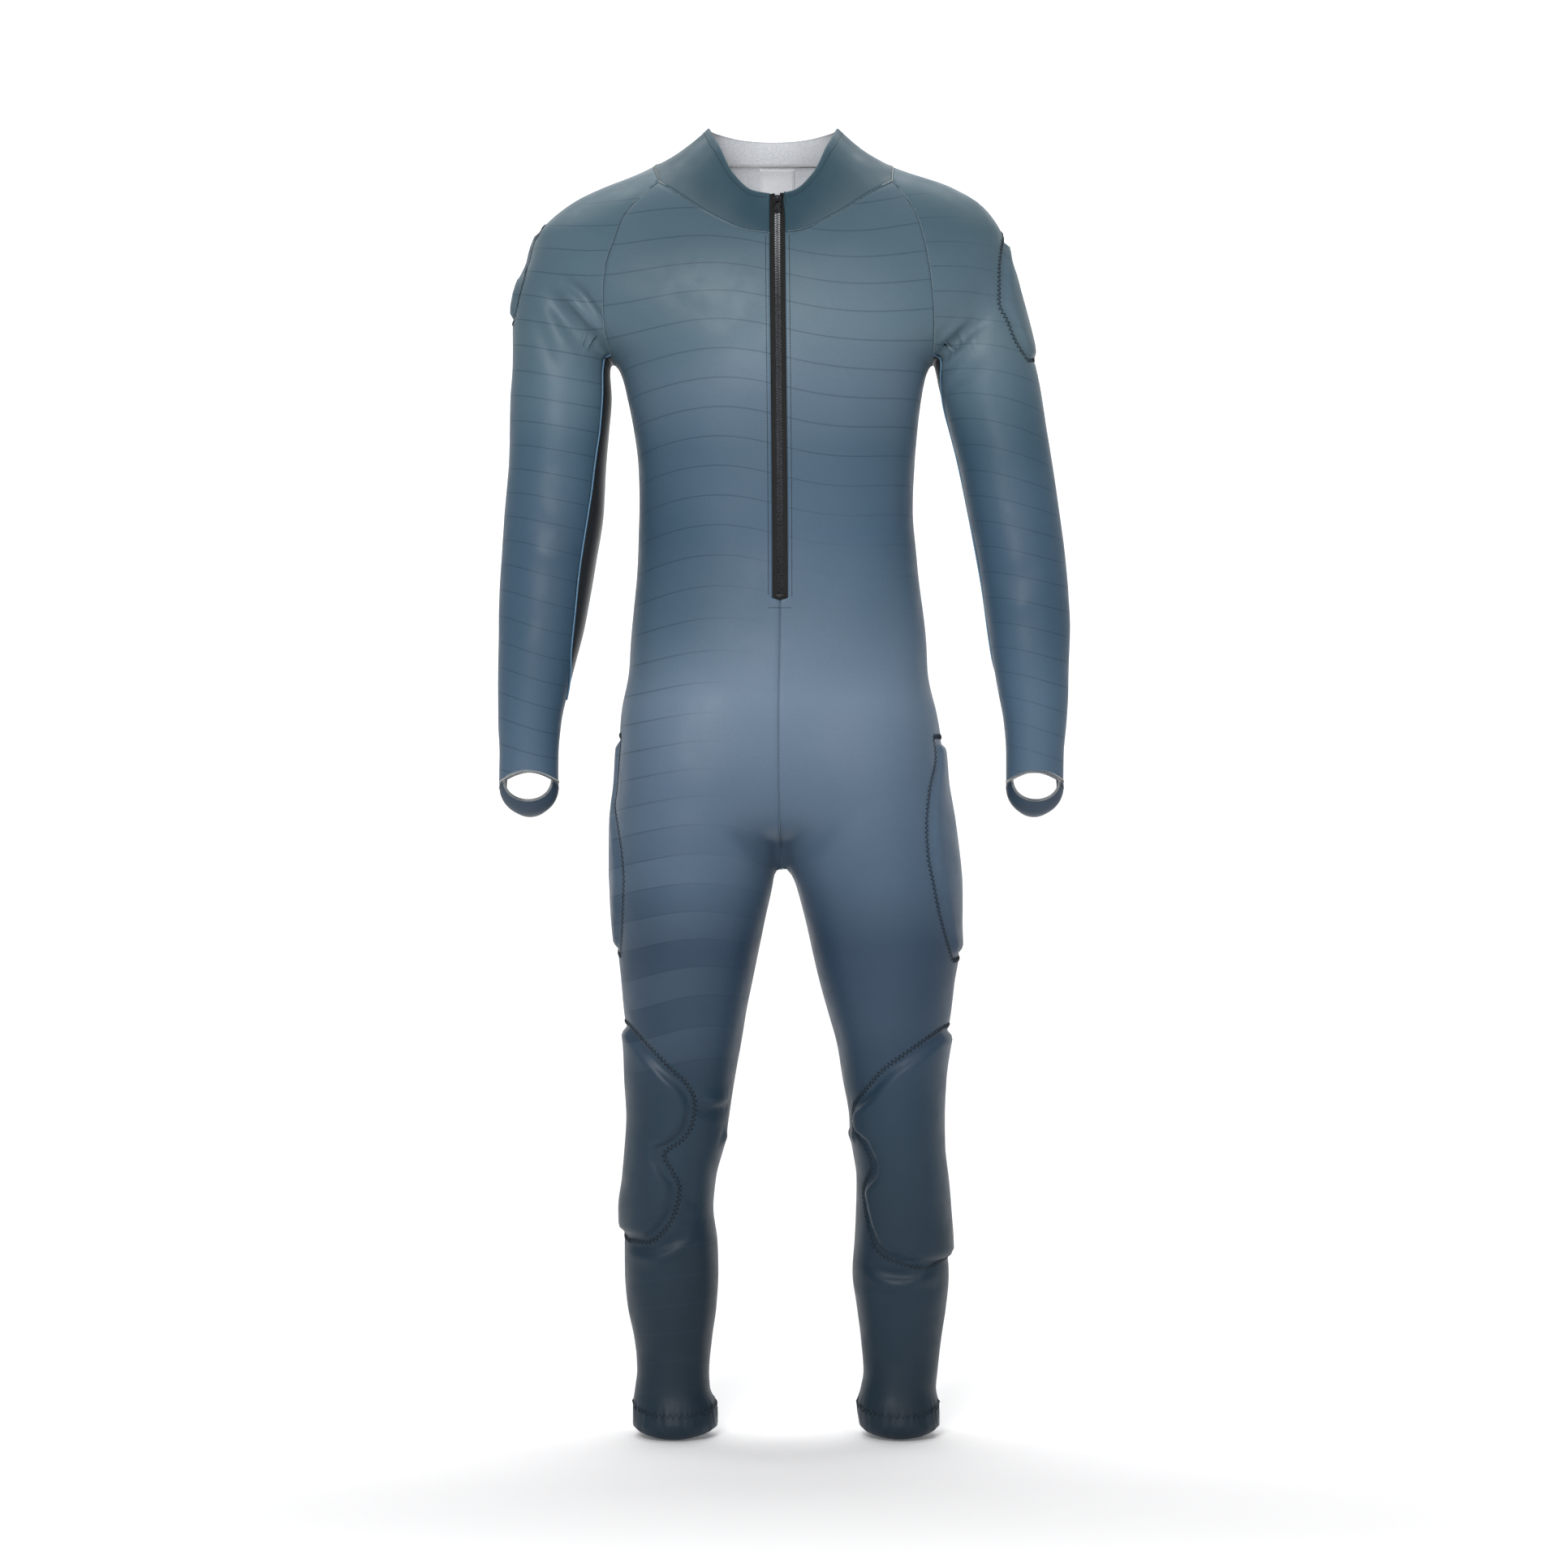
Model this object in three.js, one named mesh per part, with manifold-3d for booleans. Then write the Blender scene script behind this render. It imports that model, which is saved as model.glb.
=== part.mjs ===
// A one-piece ski race suit that stands hollow, filled out as if worn, with its arms hanging.
// Millimetres, +Z up, the front towards -Y and the wearer's left towards +X.
// The origin is the middle of the neck opening, level with the top of the shoulders.
import * as THREE from 'three';
import Module from 'manifold-3d';
import { mergeVertices } from 'three/addons/utils/BufferGeometryUtils.js';

const WALL = 1.5; // cloth, doubled at its seams
const SEAM_GAP = 0.4; // between neighbouring pieces
const ARMPIT_FILLET = 14; // how far the arms' and the trunk's outlines reach for each other
const CROTCH_FILLET = 18;
const HIP_FILLET = 40;

const ZIP_OPENING = 17; // between the folded edges of the two fronts
const ZIP_FOOT = -490; // height of the zip's lower end
const ZIP_HEAD_STEP = 3; // the fronts close over this height below the zip
const TAPE_HIDDEN = 7; // width of each tape under a front's edge
const TAPE_THICKNESS = 1;
const COIL_WIDTH = 5;
const COIL_HEIGHT = 1.8;

const KNEE_PAD = 6; // thickness of the foam
const HIP_PAD = 4.5;
const SHOULDER_PAD = 5;

const LABEL_WIDTH = 40;
const LABEL_THICKNESS = 1;

const SLIDER = { width: 8.6, length: 13, thickness: 3, drop: 10 }; // drop: below the collar's rim
const BRIDGE = { width: 2.2, hole: 3, strap: 1.2 };
const TAB = { width: 7, length: 17, thickness: 1.2, bar: 1.4, windowWidth: 3.4, windowLength: 4.4 };
const STOP = { width: 3.4, height: 2.4, thickness: 1.2, clearance: 0.2 };
const TOP_STOP_DROP = 1.7; // from the collar's rim
const BOTTOM_STOP = { width: 8, height: 3, drop: 452 };

// Outlines of the hollow form by height. right and left are x as seen from the front, front and back are y.
const TRUNK = table(['z', 'right', 'left', 'front', 'back'], [
  [40, -70, 62, -8, 72],
  [15, -112, 103, -30, 86],
  [5, -136, 124, -40, 92],
  [-5, -155, 148, -48, 96],
  [-23, -198, 199, -62, 102],
  [-41, -233, 229, -73, 107],
  [-59, -256, 244, -82, 110],
  [-78, -272, 254, -90, 112],
  [-114, -279, 260, -102, 114],
  [-150, -272, 254, -109, 115],
  [-182, -242, 228, -112, 115],
  [-205, -206, 194, -113, 114],
  [-225, -180, 170, -113, 113],
  [-260, -169, 162, -112, 110],
  [-297, -161, 157, -109, 105],
  [-334, -157, 154, -106, 100],
  [-388, -155, 152, -101, 95],
  [-443, -157, 157, -99, 95],
  [-497, -161, 163, -99, 98],
  [-552, -166, 168, -100, 104],
  [-607, -168, 170, -101, 110],
  [-662, -158, 163, -99, 113],
  [-700, -143, 151, -93, 109],
  [-725, -118, 128, -80, 96],
  [-743, -90, 100, -60, 74],
  [-753, -58, 66, -36, 50],
  [-760, -8, 16, 2, 14],
]);

const LIMB_COLUMNS = ['z', 'rightOuter', 'rightInner', 'leftInner', 'leftOuter', 'front', 'back'];
const ARMS = table(LIMB_COLUMNS, [
  [-95, -255, -215, 205, 238, -15, 30],
  [-125, -286, -197, 190, 264, -40, 52],
  [-150, -294, -190, 182, 272, -50, 60],
  [-187, -298, -188, 178, 282, -55, 62],
  [-225, -298, -188, 178, 290, -56, 60],
  [-260, -300, -186, 184, 297, -56, 57],
  [-297, -301, -189, 194, 303, -56, 54],
  [-333, -302, -192, 203, 308, -56, 50],
  [-388, -306, -195, 214, 316, -58, 45],
  [-443, -309, -203, 224, 323, -62, 39],
  [-479, -311, -208, 230, 326, -64, 35],
  [-516, -312, -215, 235, 327, -65, 30],
  [-552, -312, -224, 240, 326, -66, 22],
  [-589, -312, -233, 246, 325, -66, 14],
  [-625, -312, -241, 252, 322, -65, 6],
  [-662, -310, -244, 255, 319, -63, 1],
  [-700, -310, -244, 255, 319, -63, 0],
]);

const LEGS = table(LIMB_COLUMNS, [
  [-560, -130, -45, 45, 130, -45, 55],
  [-610, -162, -28, 28, 166, -74, 88],
  [-662, -176, -12, 14, 184, -92, 112],
  [-700, -181, -5, 9, 190, -98, 118],
  [-735, -185, 0, 4, 196, -99, 119],
  [-771, -186, -1, 8, 201, -98, 117],
  [-790, -186, -3, 13, 203, -96, 115],
  [-808, -185, -6, 21, 204, -95, 112],
  [-844, -183, -14, 31, 204, -92, 106],
  [-881, -180, -21, 39, 205, -88, 99],
  [-917, -176, -28, 48, 199, -84, 91],
  [-954, -172, -36, 58, 194, -80, 84],
  [-990, -167, -42, 68, 188, -75, 77],
  [-1027, -165, -48, 74, 183, -70, 70],
  [-1063, -163, -54, 80, 181, -66, 62],
  [-1100, -165, -60, 84, 182, -62, 62],
  [-1137, -168, -69, 89, 186, -56, 68],
  [-1173, -173, -72, 88, 189, -50, 72],
  [-1209, -173, -68, 87, 192, -46, 74],
  [-1246, -172, -67, 85, 193, -43, 73],
  [-1282, -169, -69, 89, 190, -40, 68],
  [-1319, -162, -74, 94, 185, -37, 59],
  [-1355, -158, -77, 97, 180, -36, 49],
  [-1373, -160, -76, 94, 178, -37, 47],
  [-1392, -162, -69, 90, 181, -41, 49],
  [-1415, -163, -67, 92, 183, -46, 54],
]);

// The raglan seams in the front view, on the fronts and on the back.
const RAGLANS = table(['z', 'rightFront', 'leftFront', 'rightBack', 'leftBack'], [
  [20, -100, 95, -58, 54],
  [5, -108, 104, -72, 67],
  [-20, -126, 124, -98, 92],
  [-49, -160, 146, -122, 115],
  [-74, -173, 157, -138, 131],
  [-110, -185, 165, -158, 150],
  [-141, -192, 170, -172, 162],
  [-182, -192, 173, -186, 172],
  [-225, -184, 174, -184, 174],
]);
const ARMPIT_X = { right: -184, left: 174 };
const ARMPIT_Y = 3;

// The middle of the front: the zip, then the seam down to the crotch.
const CENTRE = table(['z', 'x'], [[60, -1], [-90, 0], [-490, 3], [-634, 1], [-728, 2], [-781, 4]]);
const CROTCH_Y = 8;

// The collar's seam and rim by angle from the front, at the middle of the neck.
const NECK = { x: -5, y: 12 };
const COLLAR = table(['angle', 'seamHeight', 'rimHeight', 'rimRadius'], [
  [0, -90, -43, 86],
  [15, -86, -38, 83],
  [35, -68, -16, 76],
  [60, -32, 22, 71],
  [90, 4, 46, 73],
  [120, 14, 46, 73],
  [150, 16, 43, 68],
  [180, 16, 42, 66],
]);

// Where each front's pads begin, and its seam with the back, as angles from the side towards the front.
const FRONT_ANGLES = table(['z', 'rightPad', 'leftPad', 'seam'], [
  [20, 70, 70, 0],
  [-225, 55, 55, 0],
  [-260, 55, 55, -5],
  [-300, 55, 55, -14],
  [-400, 54, 54, -34],
  [-600, 30, 34, -42],
  [-660, 6, 26, -44],
  [-703, 10, 41, -45],
  [-740, 24, 47, -46],
  [-777, 32, 49, -47],
  [-801, 34, 48, -47],
  [-844, 28, 45, -46],
  [-892, 14, 27, -45],
  [-925, 34, 48, -45],
  [-955, 60, 70, -45],
  [-990, 78, 92, -45],
  [-1025, 97, 110, -45],
  [-1055, 110, 130, -45],
  [-1080, 100, 132, -45],
  [-1107, 78, 117, -45],
  [-1130, 95, 110, -45],
  [-1160, 106, 118, -45],
  [-1185, 96, 108, -45],
  [-1205, 70, 92, -45],
  [-1240, 70, 70, -45],
  [-1415, 70, 70, -45],
]);

// Each underarm panel's front and back edges, as angles round the arm from its inner side towards the front.
const UNDERARM = table(['z', 'front', 'back'], [
  [-225, 24, -24],
  [-300, 34, -38],
  [-355, 38, -52],
  [-415, 43, -60],
  [-471, 44, -58],
  [-537, 36, -40],
  [-600, 1, -2],
  [-604, -0.5, -0.5],
]);
const ARM_TURN = { right: 0, left: -42 };

const LABEL = { top: 3, bottom: 36 }; // below the back neck seam

const RAGLAN_ROWS = 10;
const ARMPIT_REACH = 1; // how far above an armpit a level still counts as its own
const SHOULDER_TOP_POINTS = 3;
const UNDERARM_ROWS = 2; // rows of the raglan seams that the underarm panel takes on each side of the armpit
const YOKE_ROWS = 8;
const SLEEVE_LEVELS = [-300, -335, -370, -405, -440, -475, -510, -545, -575, -600, -604, -635, -662, -681];
const SLEEVE_TILT = { rise: 60, until: -545 }; // the sleeve's first rings stand higher on the outer side
const COLLAR_ROWS = 5;
const TRUNK_LEVELS = [-250, -285, -325, -370, -415, -455, ZIP_FOOT, ZIP_FOOT - ZIP_HEAD_STEP,
  -530, -580, -622, -645, -685, -715, -742, -762, -774];
const LEG_LEVELS = [-796, -815, -842, -870, -892, -912, -940, -958, -975, -997, -1020, -1043, -1066,
  -1088, -1108, -1128, -1150, -1172, -1192, -1208, -1240, -1282, -1320, -1355, -1378, -1396, -1412];

const HEM_DROP = { front: 13, back: -6, from: -1350 }; // the hem's front edge hangs lower than its sides
const WRIST_DROP = { sides: 12, from: -635 };

// A table's rows become one smooth curve for each named column.
function table(names, rows) {
  const ordered = rows.toSorted((one, other) => one[0] - other[0]);
  const keys = ordered.map(row => row[0]);
  const curves = {};
  for (let column = 1; column < names.length; column++) {
    curves[names[column]] = smoothCurve(keys, ordered.map(row => row[column]));
  }
  return { ...curves, low: keys[0], high: keys.at(-1) };
}

function smoothCurve(keys, values) {
  const last = keys.length - 1;
  const slopes = keys.slice(1).map((key, i) => (values[i + 1] - values[i]) / (key - keys[i]));
  const tangents = keys.map((key, i) => {
    if (i === 0) return slopes[0];
    if (i === last) return slopes[last - 1];
    const [before, after] = [slopes[i - 1], slopes[i]];
    return before * after <= 0 ? 0 : 2 * before * after / (before + after);
  });
  return key => {
    if (key <= keys[0]) return values[0];
    if (key >= keys[last]) return values[last];
    let i = 0;
    while (key > keys[i + 1]) i++;
    const span = keys[i + 1] - keys[i];
    const t = (key - keys[i]) / span;
    const [t2, t3] = [t * t, t * t * t];
    return values[i] * (2 * t3 - 3 * t2 + 1) + values[i + 1] * (3 * t2 - 2 * t3)
      + span * (tangents[i] * (t3 - 2 * t2 + t) + tangents[i + 1] * (t3 - t2));
  };
}

const mix = (from, to, t) => from + (to - from) * t;
const mixPoints = (from, to, t) => from.clone().lerp(to, t);
const radians = degrees => degrees * Math.PI / 180;
const smoothstep = (from, to, value) => THREE.MathUtils.smoothstep(value, from, to);

// The hollow form: a trunk, two arms and two legs, ovals at every height, with fillets where they meet.
const TRUNK_ROUNDNESS = 2.3;
const LIMB_ROUNDNESS = 2.1;

function tube(outlines, right, left, roundness) {
  const { front, back, low, high } = outlines;
  return { right: outlines[right], left: outlines[left], front, back, low, high, roundness };
}

const trunk = tube(TRUNK, 'right', 'left', TRUNK_ROUNDNESS);
const SIDES = {
  right: {
    sign: -1,
    arm: tube(ARMS, 'rightOuter', 'rightInner', LIMB_ROUNDNESS),
    leg: tube(LEGS, 'rightOuter', 'rightInner', LIMB_ROUNDNESS),
  },
  left: {
    sign: 1,
    arm: tube(ARMS, 'leftInner', 'leftOuter', LIMB_ROUNDNESS),
    leg: tube(LEGS, 'leftInner', 'leftOuter', LIMB_ROUNDNESS),
  },
};

function middle(shape, z) {
  return { x: (shape.right(z) + shape.left(z)) / 2, y: (shape.front(z) + shape.back(z)) / 2 };
}

// Roughly how far a point lies outside a tube, and below zero inside it.
function tubeDistance(shape, x, y, z) {
  const centre = middle(shape, z);
  const halfWidth = (shape.left(z) - shape.right(z)) / 2;
  const halfDepth = (shape.back(z) - shape.front(z)) / 2;
  const across = Math.abs(x - centre.x) / halfWidth + 1e-6;
  const deep = Math.abs(y - centre.y) / halfDepth + 1e-6;
  const n = shape.roundness;
  const size = (across ** n + deep ** n) ** (1 / n);
  const slope = Math.hypot(across ** (n - 1) / halfWidth, deep ** (n - 1) / halfDepth) * size ** (1 - n);
  const beyond = Math.max(shape.low - z, z - shape.high, 0);
  return (size - 1) / slope + beyond;
}

function blend(a, b, reach) {
  const overlap = Math.max(reach - Math.abs(a - b), 0) / reach;
  return Math.min(a, b) - overlap * overlap * reach / 4;
}

function formDistance(x, y, z) {
  let distance = tubeDistance(trunk, x, y, z);
  if (z < LEGS.high) {
    const [right, left] = Object.values(SIDES).map(side => tubeDistance(side.leg, x, y, z));
    distance = blend(distance, blend(right, left, CROTCH_FILLET), HIP_FILLET);
  }
  const arm = (x < 0 ? SIDES.right : SIDES.left).arm;
  return blend(distance, tubeDistance(arm, x, y, z), ARMPIT_FILLET);
}

// The way out of the form at a point on it.
function outward(point) {
  const step = 0.5;
  const { x, y, z } = point;
  return new THREE.Vector3(
    formDistance(x + step, y, z) - formDistance(x - step, y, z),
    formDistance(x, y + step, z) - formDistance(x, y - step, z),
    formDistance(x, y, z + step) - formDistance(x, y, z - step),
  ).normalize();
}

// The first place where the form begins or ends along a line.
function crossing(start, direction, reach) {
  const at = t => start.clone().addScaledVector(direction, t);
  const value = t => { const p = at(t); return formDistance(p.x, p.y, p.z); };
  const stride = 4;
  const startsInside = value(0) < 0;
  let near = 0;
  while (near < reach && (value(near + stride) < 0) === startsInside) near += stride;
  let far = near + stride;
  for (let halving = 0; halving < 24; halving++) {
    const half = (near + far) / 2;
    if ((value(half) < 0) === startsInside) near = half;
    else far = half;
  }
  return at((near + far) / 2);
}

const ALONG = { front: new THREE.Vector3(0, 1, 0), back: new THREE.Vector3(0, -1, 0) };
const FAR_OFF = 260;

// The form's surface behind a point of the front view, on its front or its back.
function facingPoint(facing, x, z) {
  const start = new THREE.Vector3(x, facing === 'front' ? -FAR_OFF : FAR_OFF, z);
  return crossing(start, ALONG[facing], 2 * FAR_OFF);
}

function lowestPoint(x, y, from) {
  return crossing(new THREE.Vector3(x, y, from), new THREE.Vector3(0, 0, 1), 200);
}

// The surface at one height, in the direction of an angle from the side towards the front.
function pointAt(name, axis, angle, z) {
  const side = SIDES[name];
  const direction = new THREE.Vector3(side.sign * Math.cos(angle), -Math.sin(angle), 0);
  return crossing(new THREE.Vector3(axis.x, axis.y, z), direction, 320);
}

function angleOf(name, axis, point) {
  return Math.atan2(axis.y - point.y, SIDES[name].sign * (point.x - axis.x));
}

const armpits = {};
for (const name of Object.keys(SIDES)) armpits[name] = lowestPoint(ARMPIT_X[name], ARMPIT_Y, -300);
const crotch = lowestPoint(CENTRE.x(-781), CROTCH_Y, -900);

// The line inside the form that each level's angles are measured round: the trunk's, then the leg's.
const HIP_LEVEL = -735;
const WAIST_LEVEL = -450;
const TRUNK_AXIS_X = 50;

function bodyAxis(name, z) {
  const leg = middle(SIDES[name].leg, Math.min(z, HIP_LEVEL));
  const t = smoothstep(HIP_LEVEL, WAIST_LEVEL, z);
  return { x: mix(leg.x, SIDES[name].sign * TRUNK_AXIS_X, t), y: mix(leg.y, 0, t) };
}

function raglanPoint(name, facing, z) {
  const column = name + (facing === 'front' ? 'Front' : 'Back');
  return facingPoint(facing, RAGLANS[column](z), z);
}

// The edge at the middle of a front or of the back: beside the zip, and on the seam below it.
function centrePoint(name, facing, z) {
  const besideZip = facing === 'front' && z >= ZIP_FOOT;
  const offset = besideZip ? SIDES[name].sign * ZIP_OPENING / 2 : 0;
  return facingPoint(facing, CENTRE.x(z) + offset, z);
}

// The angles between which a front or half of the back runs at one height.
function limits(name, facing, z) {
  const axis = bodyAxis(name, z);
  const turn = facing === 'front' ? 1 : -1;
  const armpit = armpits[name];
  let outer = radians(FRONT_ANGLES.seam(z));
  if (z > armpit.z + ARMPIT_REACH) outer = angleOf(name, axis, raglanPoint(name, facing, z));
  else if (z > armpit.z - 0.01) outer = angleOf(name, axis, armpit);
  let inner = turn * Math.PI;
  if (z > crotch.z + 0.01) {
    inner = angleOf(name, axis, centrePoint(name, facing, z));
    if (turn * inner < 0) inner += turn * 2 * Math.PI;
  }
  return { axis, inner, outer };
}

// Columns from the middle to the side. The fronts' outer ones follow the pads' edges.
const INNER_STEPS = [0, 0.22, 0.42, 0.62, 0.82];
const PAD_STEPS = [0, 0.1, 0.35, 0.6, 0.82, 0.92, 1];
const PAD_COLUMN = INNER_STEPS.length;
const BACK_STEPS = [0, 0.14, 0.28, 0.42, 0.56, 0.7, 0.85, 1];

function panelAngle(name, facing, limit, z, column) {
  if (facing === 'back') return mix(limit.inner, limit.outer, BACK_STEPS[column]);
  const padEdge = radians(FRONT_ANGLES[`${name}Pad`](z));
  if (column < PAD_COLUMN) return mix(limit.inner, padEdge, INNER_STEPS[column]);
  return mix(padEdge, limit.outer, PAD_STEPS[column - PAD_COLUMN]);
}

function panelPoint(name, facing, z, column) {
  if (column === 0 && z > crotch.z) return centrePoint(name, facing, z);
  const limit = limits(name, facing, z);
  return pointAt(name, limit.axis, panelAngle(name, facing, limit, z, column), z);
}

// The collar's seam lies where the form crosses the height that its table gives for each angle.
function seamHeightAt(point) {
  const angle = Math.abs(Math.atan2(point.x - NECK.x, NECK.y - point.y)) * 180 / Math.PI;
  return COLLAR.seamHeight(angle);
}

function onCollarSeam(pointAtHeight) {
  let [low, high] = [-110, 34];
  for (let halving = 0; halving < 24; halving++) {
    const half = (low + high) / 2;
    if (half < seamHeightAt(pointAtHeight(half))) low = half;
    else high = half;
  }
  return pointAtHeight((low + high) / 2);
}

function collarSeamPoint(degrees, sign) {
  const angle = radians(degrees);
  const direction = new THREE.Vector3(sign * Math.sin(angle), -Math.cos(angle), 0);
  return onCollarSeam(z => crossing(new THREE.Vector3(NECK.x, NECK.y, z), direction, 320));
}

// A panel is a grid of points, its rows from the collar seam to the hem and its columns as above.
function panelGrid(name, facing) {
  const columns = facing === 'back' ? BACK_STEPS.length : INNER_STEPS.length + PAD_STEPS.length;
  const outer = columns - 1;
  const grid = [];
  const tops = [];
  for (let column = 0; column < outer; column++) {
    tops.push(onCollarSeam(z => panelPoint(name, facing, z, column)));
  }
  tops.push(onCollarSeam(z => raglanPoint(name, facing, z)));
  const armpitLevel = (armpits.right.z + armpits.left.z) / 2;
  for (let row = 0; row <= RAGLAN_ROWS; row++) {
    const t = 1 - (1 - row / RAGLAN_ROWS) ** 2;
    grid.push(tops.map((top, column) => {
      if (row === 0) return top;
      if (row === RAGLAN_ROWS && column === outer) return armpits[name].clone();
      const z = mix(top.z, mix(armpitLevel, armpits[name].z, column / outer), t);
      return column === outer ? raglanPoint(name, facing, z) : panelPoint(name, facing, z, column);
    }));
  }
  for (const z of [...TRUNK_LEVELS, crotch.z, ...LEG_LEVELS]) {
    grid.push(tops.map((top, column) => {
      if (column === 0 && z === crotch.z) return crotch.clone();
      return z > HEM_DROP.from ? panelPoint(name, facing, z, column) : hemPoint(name, facing, z, column);
    }));
  }
  return grid;
}

// Near the hem a level tilts, so that its front edge hangs lower.
function hemPoint(name, facing, z, column) {
  const limit = limits(name, facing, z);
  const angle = panelAngle(name, facing, limit, z, column);
  const tilt = 1 - smoothstep(LEG_LEVELS.at(-1), HEM_DROP.from, z);
  const lean = Math.sin(angle);
  const drop = tilt * (lean > 0 ? HEM_DROP.front * lean : HEM_DROP.back * -lean);
  return pointAt(name, limit.axis, angle, z - drop);
}

// A surface: points with their ways out, and the four-sided patches between them, all wound to face out.
function surfaceOf(grids) {
  const points = [];
  const patches = [];
  for (const grid of grids) {
    const start = points.length;
    const width = grid[0].length;
    for (const row of grid) points.push(...row);
    const own = [];
    for (let row = 0; row + 1 < grid.length; row++) {
      for (let column = 0; column + 1 < width; column++) {
        const corner = start + row * width + column;
        own.push([corner, corner + 1, corner + width + 1, corner + width]);
      }
    }
    const facing = own.reduce((sum, patch) => sum + facingOut(points, patch), 0);
    patches.push(...(facing > 0 ? own : own.map(patch => patch.toReversed())));
  }
  return { points, patches };
}

function facingOut(points, patch) {
  const [a, b, c, d] = patch.map(index => points[index]);
  return c.at.clone().sub(a.at).cross(d.at.clone().sub(b.at)).dot(a.out);
}

// Cloth of even thickness on a surface, closed by a narrow wall along every free edge.
function clothGeometry(surface, innerDepth = WALL) {
  const positions = [];
  const indices = [];
  const joined = joinedPoints(surface.points);
  for (const point of joined.points) {
    const outer = point.at.clone().addScaledVector(point.out, point.lift ?? 0);
    const innerLift = point.innerLift ?? point.lift ?? 0;
    const inner = point.at.clone().addScaledVector(point.out, innerLift - innerDepth);
    positions.push(...outer.toArray(), ...inner.toArray());
  }
  const edges = new Map();
  for (const patch of surface.patches) {
    const [a, b, c, d] = patch.map(index => joined.indexOf[index]);
    for (const [one, two, three] of [[a, b, c], [a, c, d]]) {
      if (one === two || two === three || three === one) continue;
      indices.push(2 * one, 2 * two, 2 * three, 2 * one + 1, 2 * three + 1, 2 * two + 1);
      for (const [from, to] of [[one, two], [two, three], [three, one]]) {
        if (!edges.delete(`${to} ${from}`)) edges.set(`${from} ${to}`, [from, to]);
      }
    }
  }
  for (const [from, to] of edges.values()) {
    indices.push(2 * from, 2 * from + 1, 2 * to + 1, 2 * from, 2 * to + 1, 2 * to);
  }
  const geometry = new THREE.BufferGeometry();
  geometry.setAttribute('position', new THREE.Float32BufferAttribute(positions, 3));
  geometry.setIndex(indices);
  return geometry;
}

// Points that two grids share become one.
function joinedPoints(points) {
  const seen = new Map();
  const kept = [];
  const indexOf = points.map(point => {
    const key = point.at.toArray().map(value => value.toFixed(2)).join(' ');
    if (!seen.has(key)) seen.set(key, kept.push(point) - 1);
    return seen.get(key);
  });
  return { points: kept, indexOf };
}

// Draws a grid's edge rows and columns back by half a seam gap.
function drawBack(grid) {
  const rows = grid.length;
  const width = grid[0].length;
  const half = SEAM_GAP / 2;
  const moved = grid.map(row => row.map(cell => cell.clone()));
  const pull = (row, column, towardsRow, towardsColumn) => {
    const away = grid[towardsRow][towardsColumn].clone().sub(grid[row][column]);
    if (away.length() > half) moved[row][column].add(away.setLength(half));
  };
  for (let column = 0; column < width; column++) {
    pull(0, column, 1, column);
    pull(rows - 1, column, rows - 2, column);
  }
  for (let row = 0; row < rows; row++) {
    pull(row, 0, row, 1);
    pull(row, width - 1, row, width - 2);
  }
  return moved;
}

const withNormals = grid => grid.map(row => row.map(at => ({ at, out: outward(at) })));

function cloth(colour, roughness = 0.55) {
  return new THREE.MeshStandardMaterial({ color: colour, roughness, metalness: 0 });
}

const materials = {
  front: cloth('#5b7083'),
  back: cloth('#4d6274'),
  sleeve: cloth('#41596b'),
  underarm: cloth('#15191d'),
  collar: cloth('#34505f'),
  loop: cloth('#34434f'),
  foam: cloth('#2c3034', 0.9),
  label: cloth('#f0f1f3', 0.4),
  tape: cloth('#141414', 0.8),
  coil: cloth('#1b1b1b', 0.4),
  metal: new THREE.MeshStandardMaterial({ color: '#2b2b2d', roughness: 0.35, metalness: 0.9 }),
};

const group = new THREE.Group();

function addPiece(name, geometry, material) {
  const mesh = new THREE.Mesh(geometry, material);
  mesh.name = name;
  group.add(mesh);
  return mesh;
}

function withLift(grid, lifts) {
  return grid.map((row, j) => row.map((cell, i) => ({ ...cell, lift: lifts(j, i) })));
}

// Ways out of a grid that isn't on the form, from its own rows and columns.
function withOwnNormals(grid, outSign) {
  const last = { row: grid.length - 1, column: grid[0].length - 1 };
  return grid.map((row, j) => row.map((at, i) => {
    const across = grid[j][Math.min(i + 1, last.column)].clone().sub(grid[j][Math.max(i - 1, 0)]);
    const along = grid[Math.min(j + 1, last.row)][i].clone().sub(grid[Math.max(j - 1, 0)][i]);
    return { at, out: across.cross(along).normalize().multiplyScalar(outSign) };
  }));
}

// Fronts and back
const grids = {};
for (const name of Object.keys(SIDES)) {
  grids[`${name}Front`] = panelGrid(name, 'front');
  grids[`${name}Back`] = panelGrid(name, 'back');
}

const rowOf = level => RAGLAN_ROWS + 1 + (level < TRUNK_LEVELS.at(-1)
  ? TRUNK_LEVELS.length + 1 + LEG_LEVELS.indexOf(level) : TRUNK_LEVELS.indexOf(level));

// The foam pads under a front: the rows and columns that each one raises.
const PAD_COLUMNS = { from: PAD_COLUMN + 1, to: PAD_COLUMN + 4 };
const FRONT_PADS = {
  hip_pad: { from: rowOf(-645), to: rowOf(-870), thickness: HIP_PAD },
  knee_pad: { from: rowOf(-975), to: rowOf(-1192), thickness: KNEE_PAD },
};

function within(pad, row, column) {
  return row >= pad.from && row <= pad.to && column >= PAD_COLUMNS.from && column <= PAD_COLUMNS.to;
}

function padGeometry(grid, pad, columns) {
  const rows = grid.slice(pad.from, pad.to + 1);
  const inside = rows.map(row => row.slice(columns.from, columns.to + 1));
  const lift = pad.thickness - WALL - SEAM_GAP;
  const cells = inside.map(row => row.map(cell => ({ ...cell, lift, innerLift: 0 })));
  return clothGeometry(surfaceOf([cells]));
}

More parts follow.
